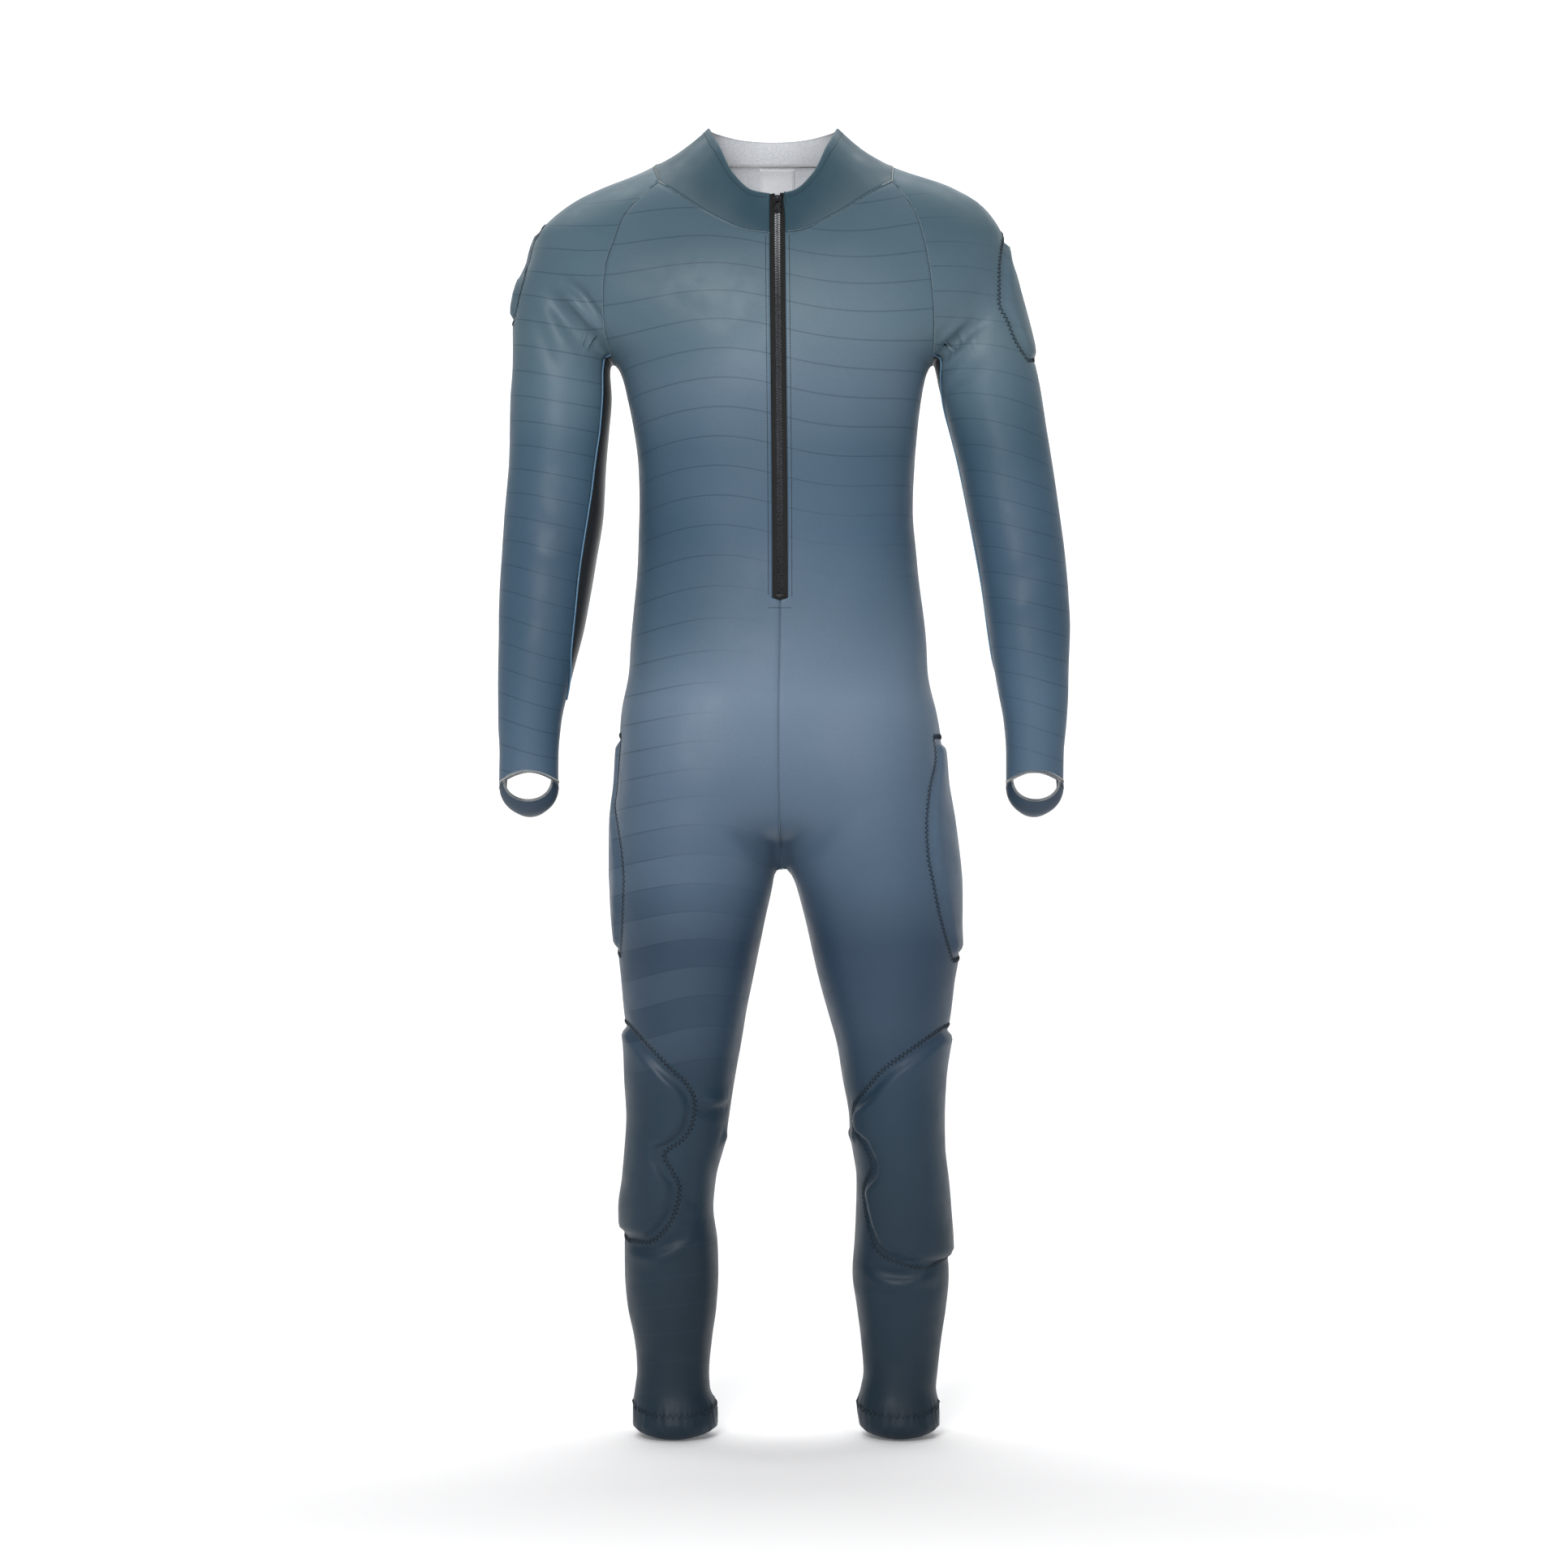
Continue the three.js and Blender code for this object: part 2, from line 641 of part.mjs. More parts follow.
for (const name of Object.keys(SIDES)) {
  const grid = withNormals(drawBack(grids[`${name}Front`]));
  const raised = withLift(grid, (row, column) => {
    const pad = Object.values(FRONT_PADS).find(one => within(one, row, column));
    return pad ? pad.thickness : 0;
  });
  addPiece(`front_${name}`, clothGeometry(surfaceOf([raised])), materials.front);
  for (const [padName, pad] of Object.entries(FRONT_PADS)) {
    addPiece(`${padName}_${name}`, padGeometry(grid, pad, PAD_COLUMNS), materials.foam);
  }
}

// The two halves of the back share their points down the middle, to the crotch.
function drawBackHalf(grid) {
  const moved = drawBack(grid);
  const crotchRow = RAGLAN_ROWS + 1 + TRUNK_LEVELS.length;
  for (let row = 1; row <= crotchRow; row++) moved[row][0] = grid[row][0].clone();
  moved[0][0] = mixPoints(grid[0][0], grid[1][0], SEAM_GAP / 2 / grid[0][0].distanceTo(grid[1][0]));
  return moved;
}
const backHalves = ['right', 'left'].map(name => drawBackHalf(grids[`${name}Back`]));
const middleTop = mixPoints(backHalves[0][0][0], backHalves[1][0][0], 0.5);
for (const half of backHalves) half[0][0] = middleTop;
addPiece('back', clothGeometry(surfaceOf(backHalves.map(withNormals))), materials.back);

// Sleeves: from the closed line of the raglan seams and the collar, over the shoulder, down to the wrist
function raglanLine(name) {
  const column = grid => grid.slice(0, RAGLAN_ROWS).map(row => row.at(-1));
  const front = column(grids[`${name}Front`]).reverse();
  const back = column(grids[`${name}Back`]);
  const degrees = point => Math.abs(Math.atan2(point.x - NECK.x, NECK.y - point.y)) * 180 / Math.PI;
  const [start, end] = [degrees(front.at(-1)), degrees(back[0])];
  const top = [];
  for (let i = 1; i <= SHOULDER_TOP_POINTS; i++) {
    const angle = mix(start, end, i / (SHOULDER_TOP_POINTS + 1));
    top.push(collarSeamPoint(angle, SIDES[name].sign));
  }
  return { front, top, back };
}

// How far round the line each of its points lies, from 0 to 1.
function sharesAlong(points) {
  const shares = [0];
  for (let i = 1; i < points.length; i++) shares.push(shares[i - 1] + points[i].distanceTo(points[i - 1]));
  return shares.map(length => length / shares.at(-1));
}

function armPoint(name, degrees, level) {
  const { sign, arm } = SIDES[name];
  const angle = radians(degrees);
  const outerShare = (1 - Math.cos(angle)) / 2;
  const tilt = smoothstep(SLEEVE_TILT.until, SLEEVE_LEVELS[0], level);
  const drop = WRIST_DROP.sides * (1 - smoothstep(SLEEVE_LEVELS.at(-1), WRIST_DROP.from, level));
  const z = level + SLEEVE_TILT.rise * outerShare * tilt - drop * Math.abs(Math.cos(angle)) ** 2;
  const direction = new THREE.Vector3(-sign * Math.cos(angle), -Math.sin(angle), 0);
  const axis = middle(arm, z);
  return crossing(new THREE.Vector3(axis.x, axis.y, z), direction, 200);
}

// Moves a point along the form's slope until it lies on its surface.
function settle(start) {
  const point = start.clone();
  for (let round = 0; round < 30; round++) {
    const distance = formDistance(point.x, point.y, point.z);
    if (Math.abs(distance) < 1e-4) break;
    const limit = 12;
    point.addScaledVector(outward(point), -Math.max(-limit, Math.min(limit, distance)));
  }
  return point;
}

// One column of a sleeve: a bend from the raglan line to the first ring, and then ring by ring to the wrist.
function sleeveColumn(name, start, anglesAt, lastLevel = SLEEVE_LEVELS.at(-1)) {
  const first = armPoint(name, anglesAt(SLEEVE_LEVELS[0]), SLEEVE_LEVELS[0]);
  const bend = start.clone();
  bend.set(mix(start.x, first.x, 0.75), mix(start.y, first.y, 0.5), mix(start.z, first.z, 0.25));
  const column = [start];
  for (let row = 1; row < YOKE_ROWS; row++) {
    const t = row / YOKE_ROWS;
    column.push(settle(mixPoints(mixPoints(start, bend, t), mixPoints(bend, first, t), t)));
  }
  column.push(first);
  for (const level of SLEEVE_LEVELS.slice(1)) {
    if (level >= lastLevel) column.push(armPoint(name, anglesAt(level), level));
  }
  return column;
}

const transposed = columns => columns[0].map((_, row) => columns.map(column => column[row]));

function sleeveGrids(name) {
  const { front, top, back } = raglanLine(name);
  const turn = ARM_TURN[name];
  const taken = UNDERARM_ROWS - 1;
  const line = [...front.slice(taken), ...top, ...back.slice(0, RAGLAN_ROWS - taken)];
  const shares = sharesAlong(line);
  const frontEdge = level => UNDERARM.front(level) + turn;
  const backEdge = level => UNDERARM.back(level) + turn;
  const sleeve = line.map((start, i) =>
    sleeveColumn(name, start, level => mix(frontEdge(level), backEdge(level) + 360, shares[i])));
  const underarmLine = [...back.slice(RAGLAN_ROWS - 1 - taken), armpits[name], ...front.slice(0, taken + 1)];
  const underarmShares = sharesAlong(underarmLine);
  const underarm = underarmLine.map((start, i) =>
    sleeveColumn(name, start, level => mix(backEdge(level), frontEdge(level), underarmShares[i]), -600));
  return { sleeve: transposed(sleeve), underarm: transposed(underarm) };
}

const SHOULDER_PAD_ROWS = { from: 3, to: 7, thickness: SHOULDER_PAD };
const SHOULDER_PAD_COLUMNS = { right: { from: 9, to: 14 }, left: { from: 7, to: 12 } };
const sleeves = {};
for (const name of Object.keys(SIDES)) {
  sleeves[name] = sleeveGrids(name);
  const grid = withNormals(drawBack(sleeves[name].sleeve));
  const rows = SHOULDER_PAD_ROWS;
  const columns = SHOULDER_PAD_COLUMNS[name];
  const raised = withLift(grid, (row, column) => {
    const onPad = row >= rows.from && row <= rows.to && column >= columns.from && column <= columns.to;
    return onPad ? rows.thickness : 0;
  });
  addPiece(`sleeve_${name}`, clothGeometry(surfaceOf([raised])), materials.sleeve);
  addPiece(`shoulder_pad_${name}`, padGeometry(grid, rows, columns), materials.foam);
  const underarm = withNormals(drawBack(sleeves[name].underarm));
  addPiece(`underarm_${name}`, clothGeometry(surfaceOf([underarm])), materials.underarm);
}

// Hand loops: a band from the sleeve's outer side down round the palm and up to its inner side
const LOOP_ROWS = 12;
const LOOP_SPREAD = [-36, -18, 0, 18, 36]; // degrees round the wrist, from the front to the back
const LOOP_FRONT = { drop: 30, flare: -2, y: -47 };
const LOOP_BACK = { drop: 56, flare: 7, y: -18 };
const LOOP_GAP = 0.6; // below the wrist's edge

function loopGrid(name) {
  const level = SLEEVE_LEVELS.at(-1);
  const outerRoot = LOOP_SPREAD.map(degrees => armPoint(name, 180 + degrees, level));
  const innerRoot = LOOP_SPREAD.map(degrees => armPoint(name, -degrees, level));
  const { sign } = SIDES[name];
  return Array.from({ length: LOOP_ROWS + 1 }, (_, row) => outerRoot.map((outer, column) => {
    const share = column / (outerRoot.length - 1);
    const t = row / LOOP_ROWS;
    const drop = mix(LOOP_FRONT.drop, LOOP_BACK.drop, share);
    const flare = sign * mix(LOOP_FRONT.flare, LOOP_BACK.flare, share);
    const y = mix(LOOP_FRONT.y, LOOP_BACK.y, share);
    const below = new THREE.Vector3(0, 0, -LOOP_GAP);
    const [start, end] = [outer, innerRoot[column]].map(root => root.clone().add(below));
    const down = new THREE.Vector3(start.x + flare, y, start.z - drop);
    const up = new THREE.Vector3(end.x - flare, y, end.z - drop);
    return new THREE.CubicBezierCurve3(start, down, up, end).getPoint(t);
  }));
}

for (const name of Object.keys(SIDES)) {
  const band = withOwnNormals(loopGrid(name), SIDES[name].sign);
  addPiece(`hand_loop_${name}`, clothGeometry(surfaceOf([band])), materials.loop);
}

// Collar: from its seam line, round the neck from one side of the zip to the other, up to the rim
function collarSeamLine() {
  const half = name => {
    const { top } = raglanLine(name);
    return [...grids[`${name}Front`][0], ...top, ...grids[`${name}Back`][0].toReversed()];
  };
  const right = half('right');
  const left = half('left').slice(0, -1).reverse();
  right.splice(-1, 1, middleTop);
  return [...right, ...left];
}

function rimPoint(seam) {
  const angle = Math.atan2(seam.x - NECK.x, NECK.y - seam.y);
  const degrees = Math.abs(angle) * 180 / Math.PI;
  const radius = COLLAR.rimRadius(degrees);
  const height = COLLAR.rimHeight(degrees);
  return new THREE.Vector3(NECK.x + radius * Math.sin(angle), NECK.y - radius * Math.cos(angle), height);
}

const seamLine = collarSeamLine();
const collarColumns = seamLine.map((seam, i) => {
  const rim = rimPoint(seam);
  if (i === 0 || i === seamLine.length - 1) rim.x = seam.x;
  const waist = mixPoints(seam, rim, 0.6).setZ(mix(seam.z, rim.z, 0.4));
  const curve = new THREE.QuadraticBezierCurve3(rim, waist, seam);
  return Array.from({ length: COLLAR_ROWS + 1 }, (_, row) => curve.getPoint(row / COLLAR_ROWS));
});
const collarGrid = transposed(collarColumns);
const collarCells = withOwnNormals(drawBack(collarGrid), 1);
for (const cell of collarCells.at(-1)) cell.out = outward(cell.at);
addPiece('collar', clothGeometry(surfaceOf([collarCells])), materials.collar);

// Neck label: a flat tab on the back's inner face, below the middle of the collar's seam
function labelGrid() {
  const [right, left] = backHalves;
  const levelled = drop => {
    const share = drop / right[0][0].distanceTo(right[1][0]);
    const ends = [left, right].map(([top, below]) => {
      const [from, to] = [0, 1].map(column => mixPoints(top[column], below[column], share));
      return { from, side: mixPoints(from, to, LABEL_WIDTH / 2 / from.distanceTo(to)) };
    });
    return [ends[0].side, ends[0].from, ends[1].side];
  };
  return [levelled(LABEL.top), levelled(LABEL.bottom)];
}
const labelDepth = WALL + SEAM_GAP;
const labelCells = withLift(withOwnNormals(labelGrid(), -1), () => -labelDepth);
addPiece('neck_label', clothGeometry(surfaceOf([labelCells]), LABEL_THICKNESS), materials.label);

// Zip: the line of its rows is the edge of the collar and of the front beside it
const COLLAR_END = { right: 0, left: seamLine.length - 1 };
const COLLAR_NEXT = { right: 1, left: seamLine.length - 2 };
const zipRow = rowOf(ZIP_FOOT);

function zipRows(name) {
  const onCollar = collarGrid.slice(0, -1).map(row => [row[COLLAR_END[name]], row[COLLAR_NEXT[name]]]);
  const onFront = grids[`${name}Front`].slice(0, zipRow + 1).map(row => [row[0], row[1]]);
  return [...onCollar, ...onFront];
}

// Normals along the zip, square to its line and with no turn to either side.
function zipNormals(rows) {
  return rows.map((_, i) => {
    const above = rows[Math.max(i - 1, 0)][0];
    const below = rows[Math.min(i + 1, rows.length - 1)][0];
    return new THREE.Vector3(0, below.z - above.z, above.y - below.y).normalize();
  });
}

function zipStrip(name, columnsAt, lift, depth) {
  const rows = zipRows(name);
  const normals = zipNormals(rows);
  const cells = rows.map((row, i) => columnsAt(row).map(at => ({ at, out: normals[i], lift })));
  return clothGeometry(surfaceOf([cells]), depth);
}

for (const name of Object.keys(SIDES)) {
  const { sign } = SIDES[name];
  const inset = (ZIP_OPENING - COIL_WIDTH) / 2 - SEAM_GAP;
  const columnsAt = ([edge, next]) => [
    new THREE.Vector3(edge.x - sign * inset, edge.y, edge.z),
    edge,
    mixPoints(edge, next, TAPE_HIDDEN / edge.distanceTo(next)),
  ];
  addPiece(`zip_tape_${name}`, zipStrip(name, columnsAt, -WALL - SEAM_GAP, TAPE_THICKNESS), materials.tape);
}

const coilColumns = ([edge]) => [
  new THREE.Vector3(edge.x + (ZIP_OPENING - COIL_WIDTH) / 2, edge.y, edge.z),
  new THREE.Vector3(edge.x + (ZIP_OPENING + COIL_WIDTH) / 2, edge.y, edge.z),
];
const coilLift = -WALL - SEAM_GAP - (TAPE_THICKNESS - COIL_HEIGHT) / 2;
addPiece('zip_coil', zipStrip('right', coilColumns, coilLift, COIL_HEIGHT), materials.coil);

// What is on the zip is built with its face towards -Y and laid on the zip's slope.
function onZip(distance) {
  const rows = zipRows('right');
  const normals = zipNormals(rows);
  let left = distance;
  let i = 0;
  while (left > rows[i][0].distanceTo(rows[i + 1][0])) left -= rows[i][0].distanceTo(rows[++i][0]);
  const at = mixPoints(rows[i][0], rows[i + 1][0], left / rows[i][0].distanceTo(rows[i + 1][0]));
  const out = normals[i];
  at.x += ZIP_OPENING / 2;
  at.addScaledVector(out, coilLift + SEAM_GAP);
  return { at, slope: Math.atan2(out.z, -out.y) };
}

function layOnZip(mesh, distance) {
  const { at, slope } = onZip(distance);
  mesh.position.copy(at);
  mesh.rotation.x = -slope;
  return mesh;
}

function boxOnFace(width, height, thickness) {
  return new THREE.BoxGeometry(width, thickness, height).translate(0, -thickness / 2, 0);
}

const wasm = await Module();
wasm.setup();

function solid(geometry) {
  const bare = geometry.clone();
  bare.deleteAttribute('normal');
  bare.deleteAttribute('uv');
  const merged = mergeVertices(bare.index ? bare.toNonIndexed() : bare);
  const mesh = new wasm.Mesh({
    numProp: 3,
    vertProperties: merged.attributes.position.array,
    triVerts: new Uint32Array(merged.index.array),
  });
  return new wasm.Manifold(mesh);
}

function geometryOf(manifold) {
  const { vertProperties, triVerts } = manifold.getMesh();
  const geometry = new THREE.BufferGeometry();
  geometry.setAttribute('position', new THREE.Float32BufferAttribute(vertProperties, 3));
  geometry.setIndex(Array.from(triVerts));
  return geometry;
}

// The slider's plate, and on it the bridge whose hole holds the tab's bar
const hingeOut = SLIDER.thickness + BRIDGE.hole / 2;
function sliderGeometry() {
  const arch = new THREE.Shape();
  const reach = BRIDGE.hole / 2 + BRIDGE.strap;
  const sunk = 1;
  arch.moveTo(-reach, SLIDER.thickness - sunk);
  arch.lineTo(reach, SLIDER.thickness - sunk);
  arch.lineTo(reach, hingeOut + BRIDGE.hole / 2);
  arch.lineTo(reach - BRIDGE.strap, hingeOut + reach);
  arch.lineTo(-reach + BRIDGE.strap, hingeOut + reach);
  arch.lineTo(-reach, hingeOut + BRIDGE.hole / 2);
  const hole = new THREE.Path();
  const segments = 12;
  for (let i = 0; i < segments; i++) {
    const angle = i / segments * 2 * Math.PI;
    const [along, out] = [Math.cos(angle), Math.sin(angle)].map(part => part * BRIDGE.hole / 2);
    if (i === 0) hole.moveTo(along, hingeOut + out);
    else hole.lineTo(along, hingeOut + out);
  }
  arch.holes.push(hole);
  const bridge = new THREE.ExtrudeGeometry(arch, { depth: BRIDGE.width, bevelEnabled: false });
  bridge.translate(0, 0, -BRIDGE.width / 2);
  const turned = new THREE.Matrix4().makeBasis(
    new THREE.Vector3(0, 0, 1), new THREE.Vector3(0, -1, 0), new THREE.Vector3(1, 0, 0));
  bridge.applyMatrix4(turned);
  const plate = boxOnFace(SLIDER.width, SLIDER.length, SLIDER.thickness);
  return geometryOf(solid(plate).add(solid(bridge)));
}
layOnZip(addPiece('zip_slider', sliderGeometry(), materials.metal), SLIDER.drop);

// The tab hangs from its bar, with a window round the bridge
function tabGeometry() {
  const [half, top, foot] = [TAB.width / 2, TAB.bar / 2, TAB.bar / 2 - TAB.length];
  const corner = 1.5;
  const outline = new THREE.Shape();
  outline.moveTo(-half, top);
  outline.lineTo(half, top);
  outline.lineTo(half, foot + corner);
  outline.quadraticCurveTo(half, foot, half - corner, foot);
  outline.lineTo(-half + corner, foot);
  outline.quadraticCurveTo(-half, foot, -half, foot + corner);
  const side = TAB.windowWidth / 2;
  const window = new THREE.Path();
  window.moveTo(-side, -TAB.bar / 2);
  window.lineTo(-side, -TAB.windowLength);
  window.lineTo(side, -TAB.windowLength);
  window.lineTo(side, -TAB.bar / 2);
  outline.holes.push(window);
  const shape = { depth: TAB.thickness, bevelEnabled: false, curveSegments: 3 };
  const tab = new THREE.ExtrudeGeometry(outline, shape);
  return tab.translate(0, 0, -TAB.thickness / 2).rotateX(Math.PI / 2);
}
const tab = layOnZip(addPiece('zip_pull', tabGeometry(), materials.metal), SLIDER.drop);
tab.geometry.translate(0, -hingeOut, 0);

// Stops: one on each tape above the slider, and one across the zip's lower end
for (const name of Object.keys(SIDES)) {
  const block = boxOnFace(STOP.width, STOP.height, STOP.thickness);
  const stop = addPiece(`zip_top_stop_${name}`, block, materials.metal);
  const aside = (COIL_WIDTH + STOP.width) / 2 + STOP.clearance;
  layOnZip(stop, TOP_STOP_DROP).translateX(SIDES[name].sign * aside);
}
const lastStop = boxOnFace(BOTTOM_STOP.width, BOTTOM_STOP.height, STOP.thickness);
layOnZip(addPiece('zip_bottom_stop', lastStop, materials.metal), BOTTOM_STOP.drop);

export default group;
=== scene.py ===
import math

import bpy
import numpy as np
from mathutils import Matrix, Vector


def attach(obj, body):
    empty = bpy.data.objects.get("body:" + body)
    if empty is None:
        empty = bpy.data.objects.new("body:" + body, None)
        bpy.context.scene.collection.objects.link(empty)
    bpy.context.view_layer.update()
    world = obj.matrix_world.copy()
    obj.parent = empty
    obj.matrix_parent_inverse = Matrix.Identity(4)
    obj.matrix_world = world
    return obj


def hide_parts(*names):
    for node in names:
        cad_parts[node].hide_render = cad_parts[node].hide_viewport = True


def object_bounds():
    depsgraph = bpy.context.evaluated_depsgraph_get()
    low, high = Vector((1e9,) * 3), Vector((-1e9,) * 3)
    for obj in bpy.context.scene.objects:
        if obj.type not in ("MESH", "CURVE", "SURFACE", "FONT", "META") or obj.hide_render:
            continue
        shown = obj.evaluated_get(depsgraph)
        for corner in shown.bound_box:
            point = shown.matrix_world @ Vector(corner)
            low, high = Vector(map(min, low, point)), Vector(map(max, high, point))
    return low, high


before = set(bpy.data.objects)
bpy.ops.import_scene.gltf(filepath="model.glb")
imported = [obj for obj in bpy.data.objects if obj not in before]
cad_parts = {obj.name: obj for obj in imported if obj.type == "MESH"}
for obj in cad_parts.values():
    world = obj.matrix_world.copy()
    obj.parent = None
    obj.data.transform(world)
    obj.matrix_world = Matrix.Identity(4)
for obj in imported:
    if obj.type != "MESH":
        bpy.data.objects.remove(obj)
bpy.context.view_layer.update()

MM = 0.001
CLOTH = 1.3  # thickness of the shells, mm
EDGE_LINE = 1.6  # width of the rounding along every cut edge, mm
EDGE_SINK = 0.8  # how far the edge itself lies below the cloth, mm
ZIP_OPENING = 17
ZIP_FOOT = -490
SIGN = {"right": -1, "left": 1}
UP = np.array([0.0, 0.0, 1.0])
FORWARD = np.array([0.0, -1.0, 0.0])

# The worn form, in mm

TRUNK = [  # z, right, left, front, back
    (40, -70, 62, -8, 72), (15, -112, 103, -30, 86), (5, -136, 124, -40, 92), (-5, -155, 148, -48, 96),
    (-23, -198, 199, -62, 102), (-41, -233, 229, -73, 107), (-59, -256, 244, -82, 110), (-78, -272, 254, -90, 112),
    (-114, -279, 260, -102, 114), (-150, -272, 254, -109, 115), (-182, -242, 228, -112, 115),
    (-205, -206, 194, -113, 114), (-225, -180, 170, -113, 113), (-260, -169, 162, -112, 110),
    (-297, -161, 157, -109, 105), (-334, -157, 154, -106, 100), (-388, -155, 152, -101, 95),
    (-443, -157, 157, -99, 95), (-497, -161, 163, -99, 98), (-552, -166, 168, -100, 104),
    (-607, -168, 170, -101, 110), (-662, -158, 163, -99, 113), (-700, -143, 151, -93, 109),
    (-725, -118, 128, -80, 96), (-743, -90, 100, -60, 74), (-753, -58, 66, -36, 50), (-760, -8, 16, 2, 14),
]
ARMS = [  # z, right outer, right inner, left inner, left outer, front, back
    (-95, -255, -215, 205, 238, -15, 30), (-125, -286, -197, 190, 264, -40, 52), (-150, -294, -190, 182, 272, -50, 60),
    (-187, -298, -188, 178, 282, -55, 62), (-225, -298, -188, 178, 290, -56, 60), (-260, -300, -186, 184, 297, -56, 57),
    (-297, -301, -189, 194, 303, -56, 54), (-333, -302, -192, 203, 308, -56, 50), (-388, -306, -195, 214, 316, -58, 45),
    (-443, -309, -203, 224, 323, -62, 39), (-479, -311, -208, 230, 326, -64, 35), (-516, -312, -215, 235, 327, -65, 30),
    (-552, -312, -224, 240, 326, -66, 22), (-589, -312, -233, 246, 325, -66, 14), (-625, -312, -241, 252, 322, -65, 6),
    (-662, -310, -244, 255, 319, -63, 1), (-700, -310, -244, 255, 319, -63, 0),
]
LEGS = [  # z, right outer, right inner, left inner, left outer, front, back
    (-560, -130, -45, 45, 130, -45, 55), (-610, -162, -28, 28, 166, -74, 88), (-662, -176, -12, 14, 184, -92, 112),
    (-700, -181, -5, 9, 190, -98, 118), (-735, -185, 0, 4, 196, -99, 119), (-771, -186, -1, 8, 201, -98, 117),
    (-790, -186, -3, 13, 203, -96, 115), (-808, -185, -6, 21, 204, -95, 112), (-844, -183, -14, 31, 204, -92, 106),
    (-881, -180, -21, 39, 205, -88, 99), (-917, -176, -28, 48, 199, -84, 91), (-954, -172, -36, 58, 194, -80, 84),
    (-990, -167, -42, 68, 188, -75, 77), (-1027, -165, -48, 74, 183, -70, 70), (-1063, -163, -54, 80, 181, -66, 62),
    (-1100, -165, -60, 84, 182, -62, 62), (-1137, -168, -69, 89, 186, -56, 68), (-1173, -173, -72, 88, 189, -50, 72),
    (-1209, -173, -68, 87, 192, -46, 74), (-1246, -172, -67, 85, 193, -43, 73), (-1282, -169, -69, 89, 190, -40, 68),
    (-1319, -162, -74, 94, 185, -37, 59), (-1355, -158, -77, 97, 180, -36, 49), (-1373, -160, -76, 94, 178, -37, 47),
    (-1392, -162, -69, 90, 181, -41, 49), (-1415, -163, -67, 92, 183, -46, 54),
]
RAGLANS = [  # z, right front, left front, right back, left back
    (20, -100, 95, -58, 54), (5, -108, 104, -72, 67), (-20, -126, 124, -98, 92), (-49, -160, 146, -122, 115),
    (-74, -173, 157, -138, 131), (-110, -185, 165, -158, 150), (-141, -192, 170, -172, 162),
    (-182, -192, 173, -186, 172), (-225, -184, 174, -184, 174),
]
CENTRE = [(60, -1), (-90, 0), (-490, 3), (-634, 1), (-728, 2), (-781, 4)]  # z, x
COLLAR = [  # degrees from the front, seam height, rim height, rim radius
    (0, -90, -43, 86), (15, -86, -38, 83), (35, -68, -16, 76), (60, -32, 22, 71), (90, 4, 46, 73),
    (120, 14, 46, 73), (150, 16, 43, 68), (180, 16, 42, 66),
]
SIDE_SEAM = [(20, 0), (-225, 0), (-260, -5), (-300, -14), (-400, -34), (-600, -42), (-703, -45), (-777, -47),
             (-844, -46), (-892, -45), (-1415, -45)]  # z, degrees from the side
UNDERARM = [(-225, 24, -24), (-300, 34, -38), (-355, 38, -52), (-415, 43, -60), (-471, 44, -58), (-537, 36, -40),
            (-600, 1, -2), (-604, -0.5, -0.5)]  # z, front edge, back edge in degrees
NECK = (-5, 12)
ARMPIT_START = {"right": (-184, 3, -300), "left": (174, 3, -300)}
ARM_TURN = {"right": 0, "left": -42}

LEG_BLEND, HIP_BLEND, ARM_BLEND = 18, 40, 14  # how softly two legs, legs and trunk, arms and trunk run together
SETTLE_STEP = 12  # the farthest that a point moves in one round of settling
AXIS_LOW, AXIS_HIGH, AXIS_OUT = -735, -450, 50  # the axis of a half moves from its leg to a place in the trunk
HEM_RISE = -1350  # below it the rows tilt towards the hem
HEM_DROP, HEM_LIFT = 13, 6  # tilt of the hem's front and back
NECK_LOW, NECK_HIGH = -110.0, 34.0  # between them lies the collar's seam

RAGLAN_ROWS = 10
TRUNK_LEVELS = [-250, -285, -325, -370, -415, -455, -490, -493, -530, -580, -622, -645, -685, -715, -742, -762, -774]
LEG_LEVELS = [-796, -815, -842, -870, -892, -912, -940, -958, -975, -997, -1020, -1043, -1066, -1088, -1108, -1128,
              -1150, -1172, -1192, -1208, -1240, -1282, -1320, -1355, -1378, -1396, -1412]
SLEEVE_LEVELS = [-300, -335, -370, -405, -440, -475, -510, -545, -575, -600, -604, -635, -662, -681]
YOKE_ROWS = 8
WRIST, UNDERARM_END = SLEEVE_LEVELS[-1], -600

GRID_STEP = 4.5  # rows of the fine grids lie about this far apart
REACH, ARM_REACH = 330, 200  # how far lines are followed from an axis until they leave the trunk or an arm
OUTSIDE = 130.0  # in front of it and behind it there is no suit
SHOULDER_RISE, RISE_FROM = 60, -545  # rows of a sleeve climb by this much round to its outer side, from this height up
WRIST_DROP, DROP_FROM = 12, -635  # and dip by this much at both sides of the wrist, from this height down
PUCKERS = [(34, 1, 0), (21, 0.5, 1), (55, 0.4, 2)]  # waves round each ankle hem, their strength, their start
CALM, CALM_FROM, CALM_TO = 0.08, 12, 55  # share of a crease left at an armpit, and over which distances it grows whole
FOAM_SHARE, FOAM_GAP, FOAM_BASE = 0.86, 0.4, 0.9  # the foam's height in the swell, and its depth below the cloth
WELD = 20  # points that agree to a twentieth of a mm are one
SEAM_THREAD, TOP_THREAD, EDGE_THREAD, ZIGZAG_THREAD, LABEL_THREAD = 0.24, 0.34, 0.3, 0.42, 0.16  # radii
PIPING = 0.95  # radius
ZIGZAG_DIP, ZIGZAG_PROUD = 0.1, 0.7
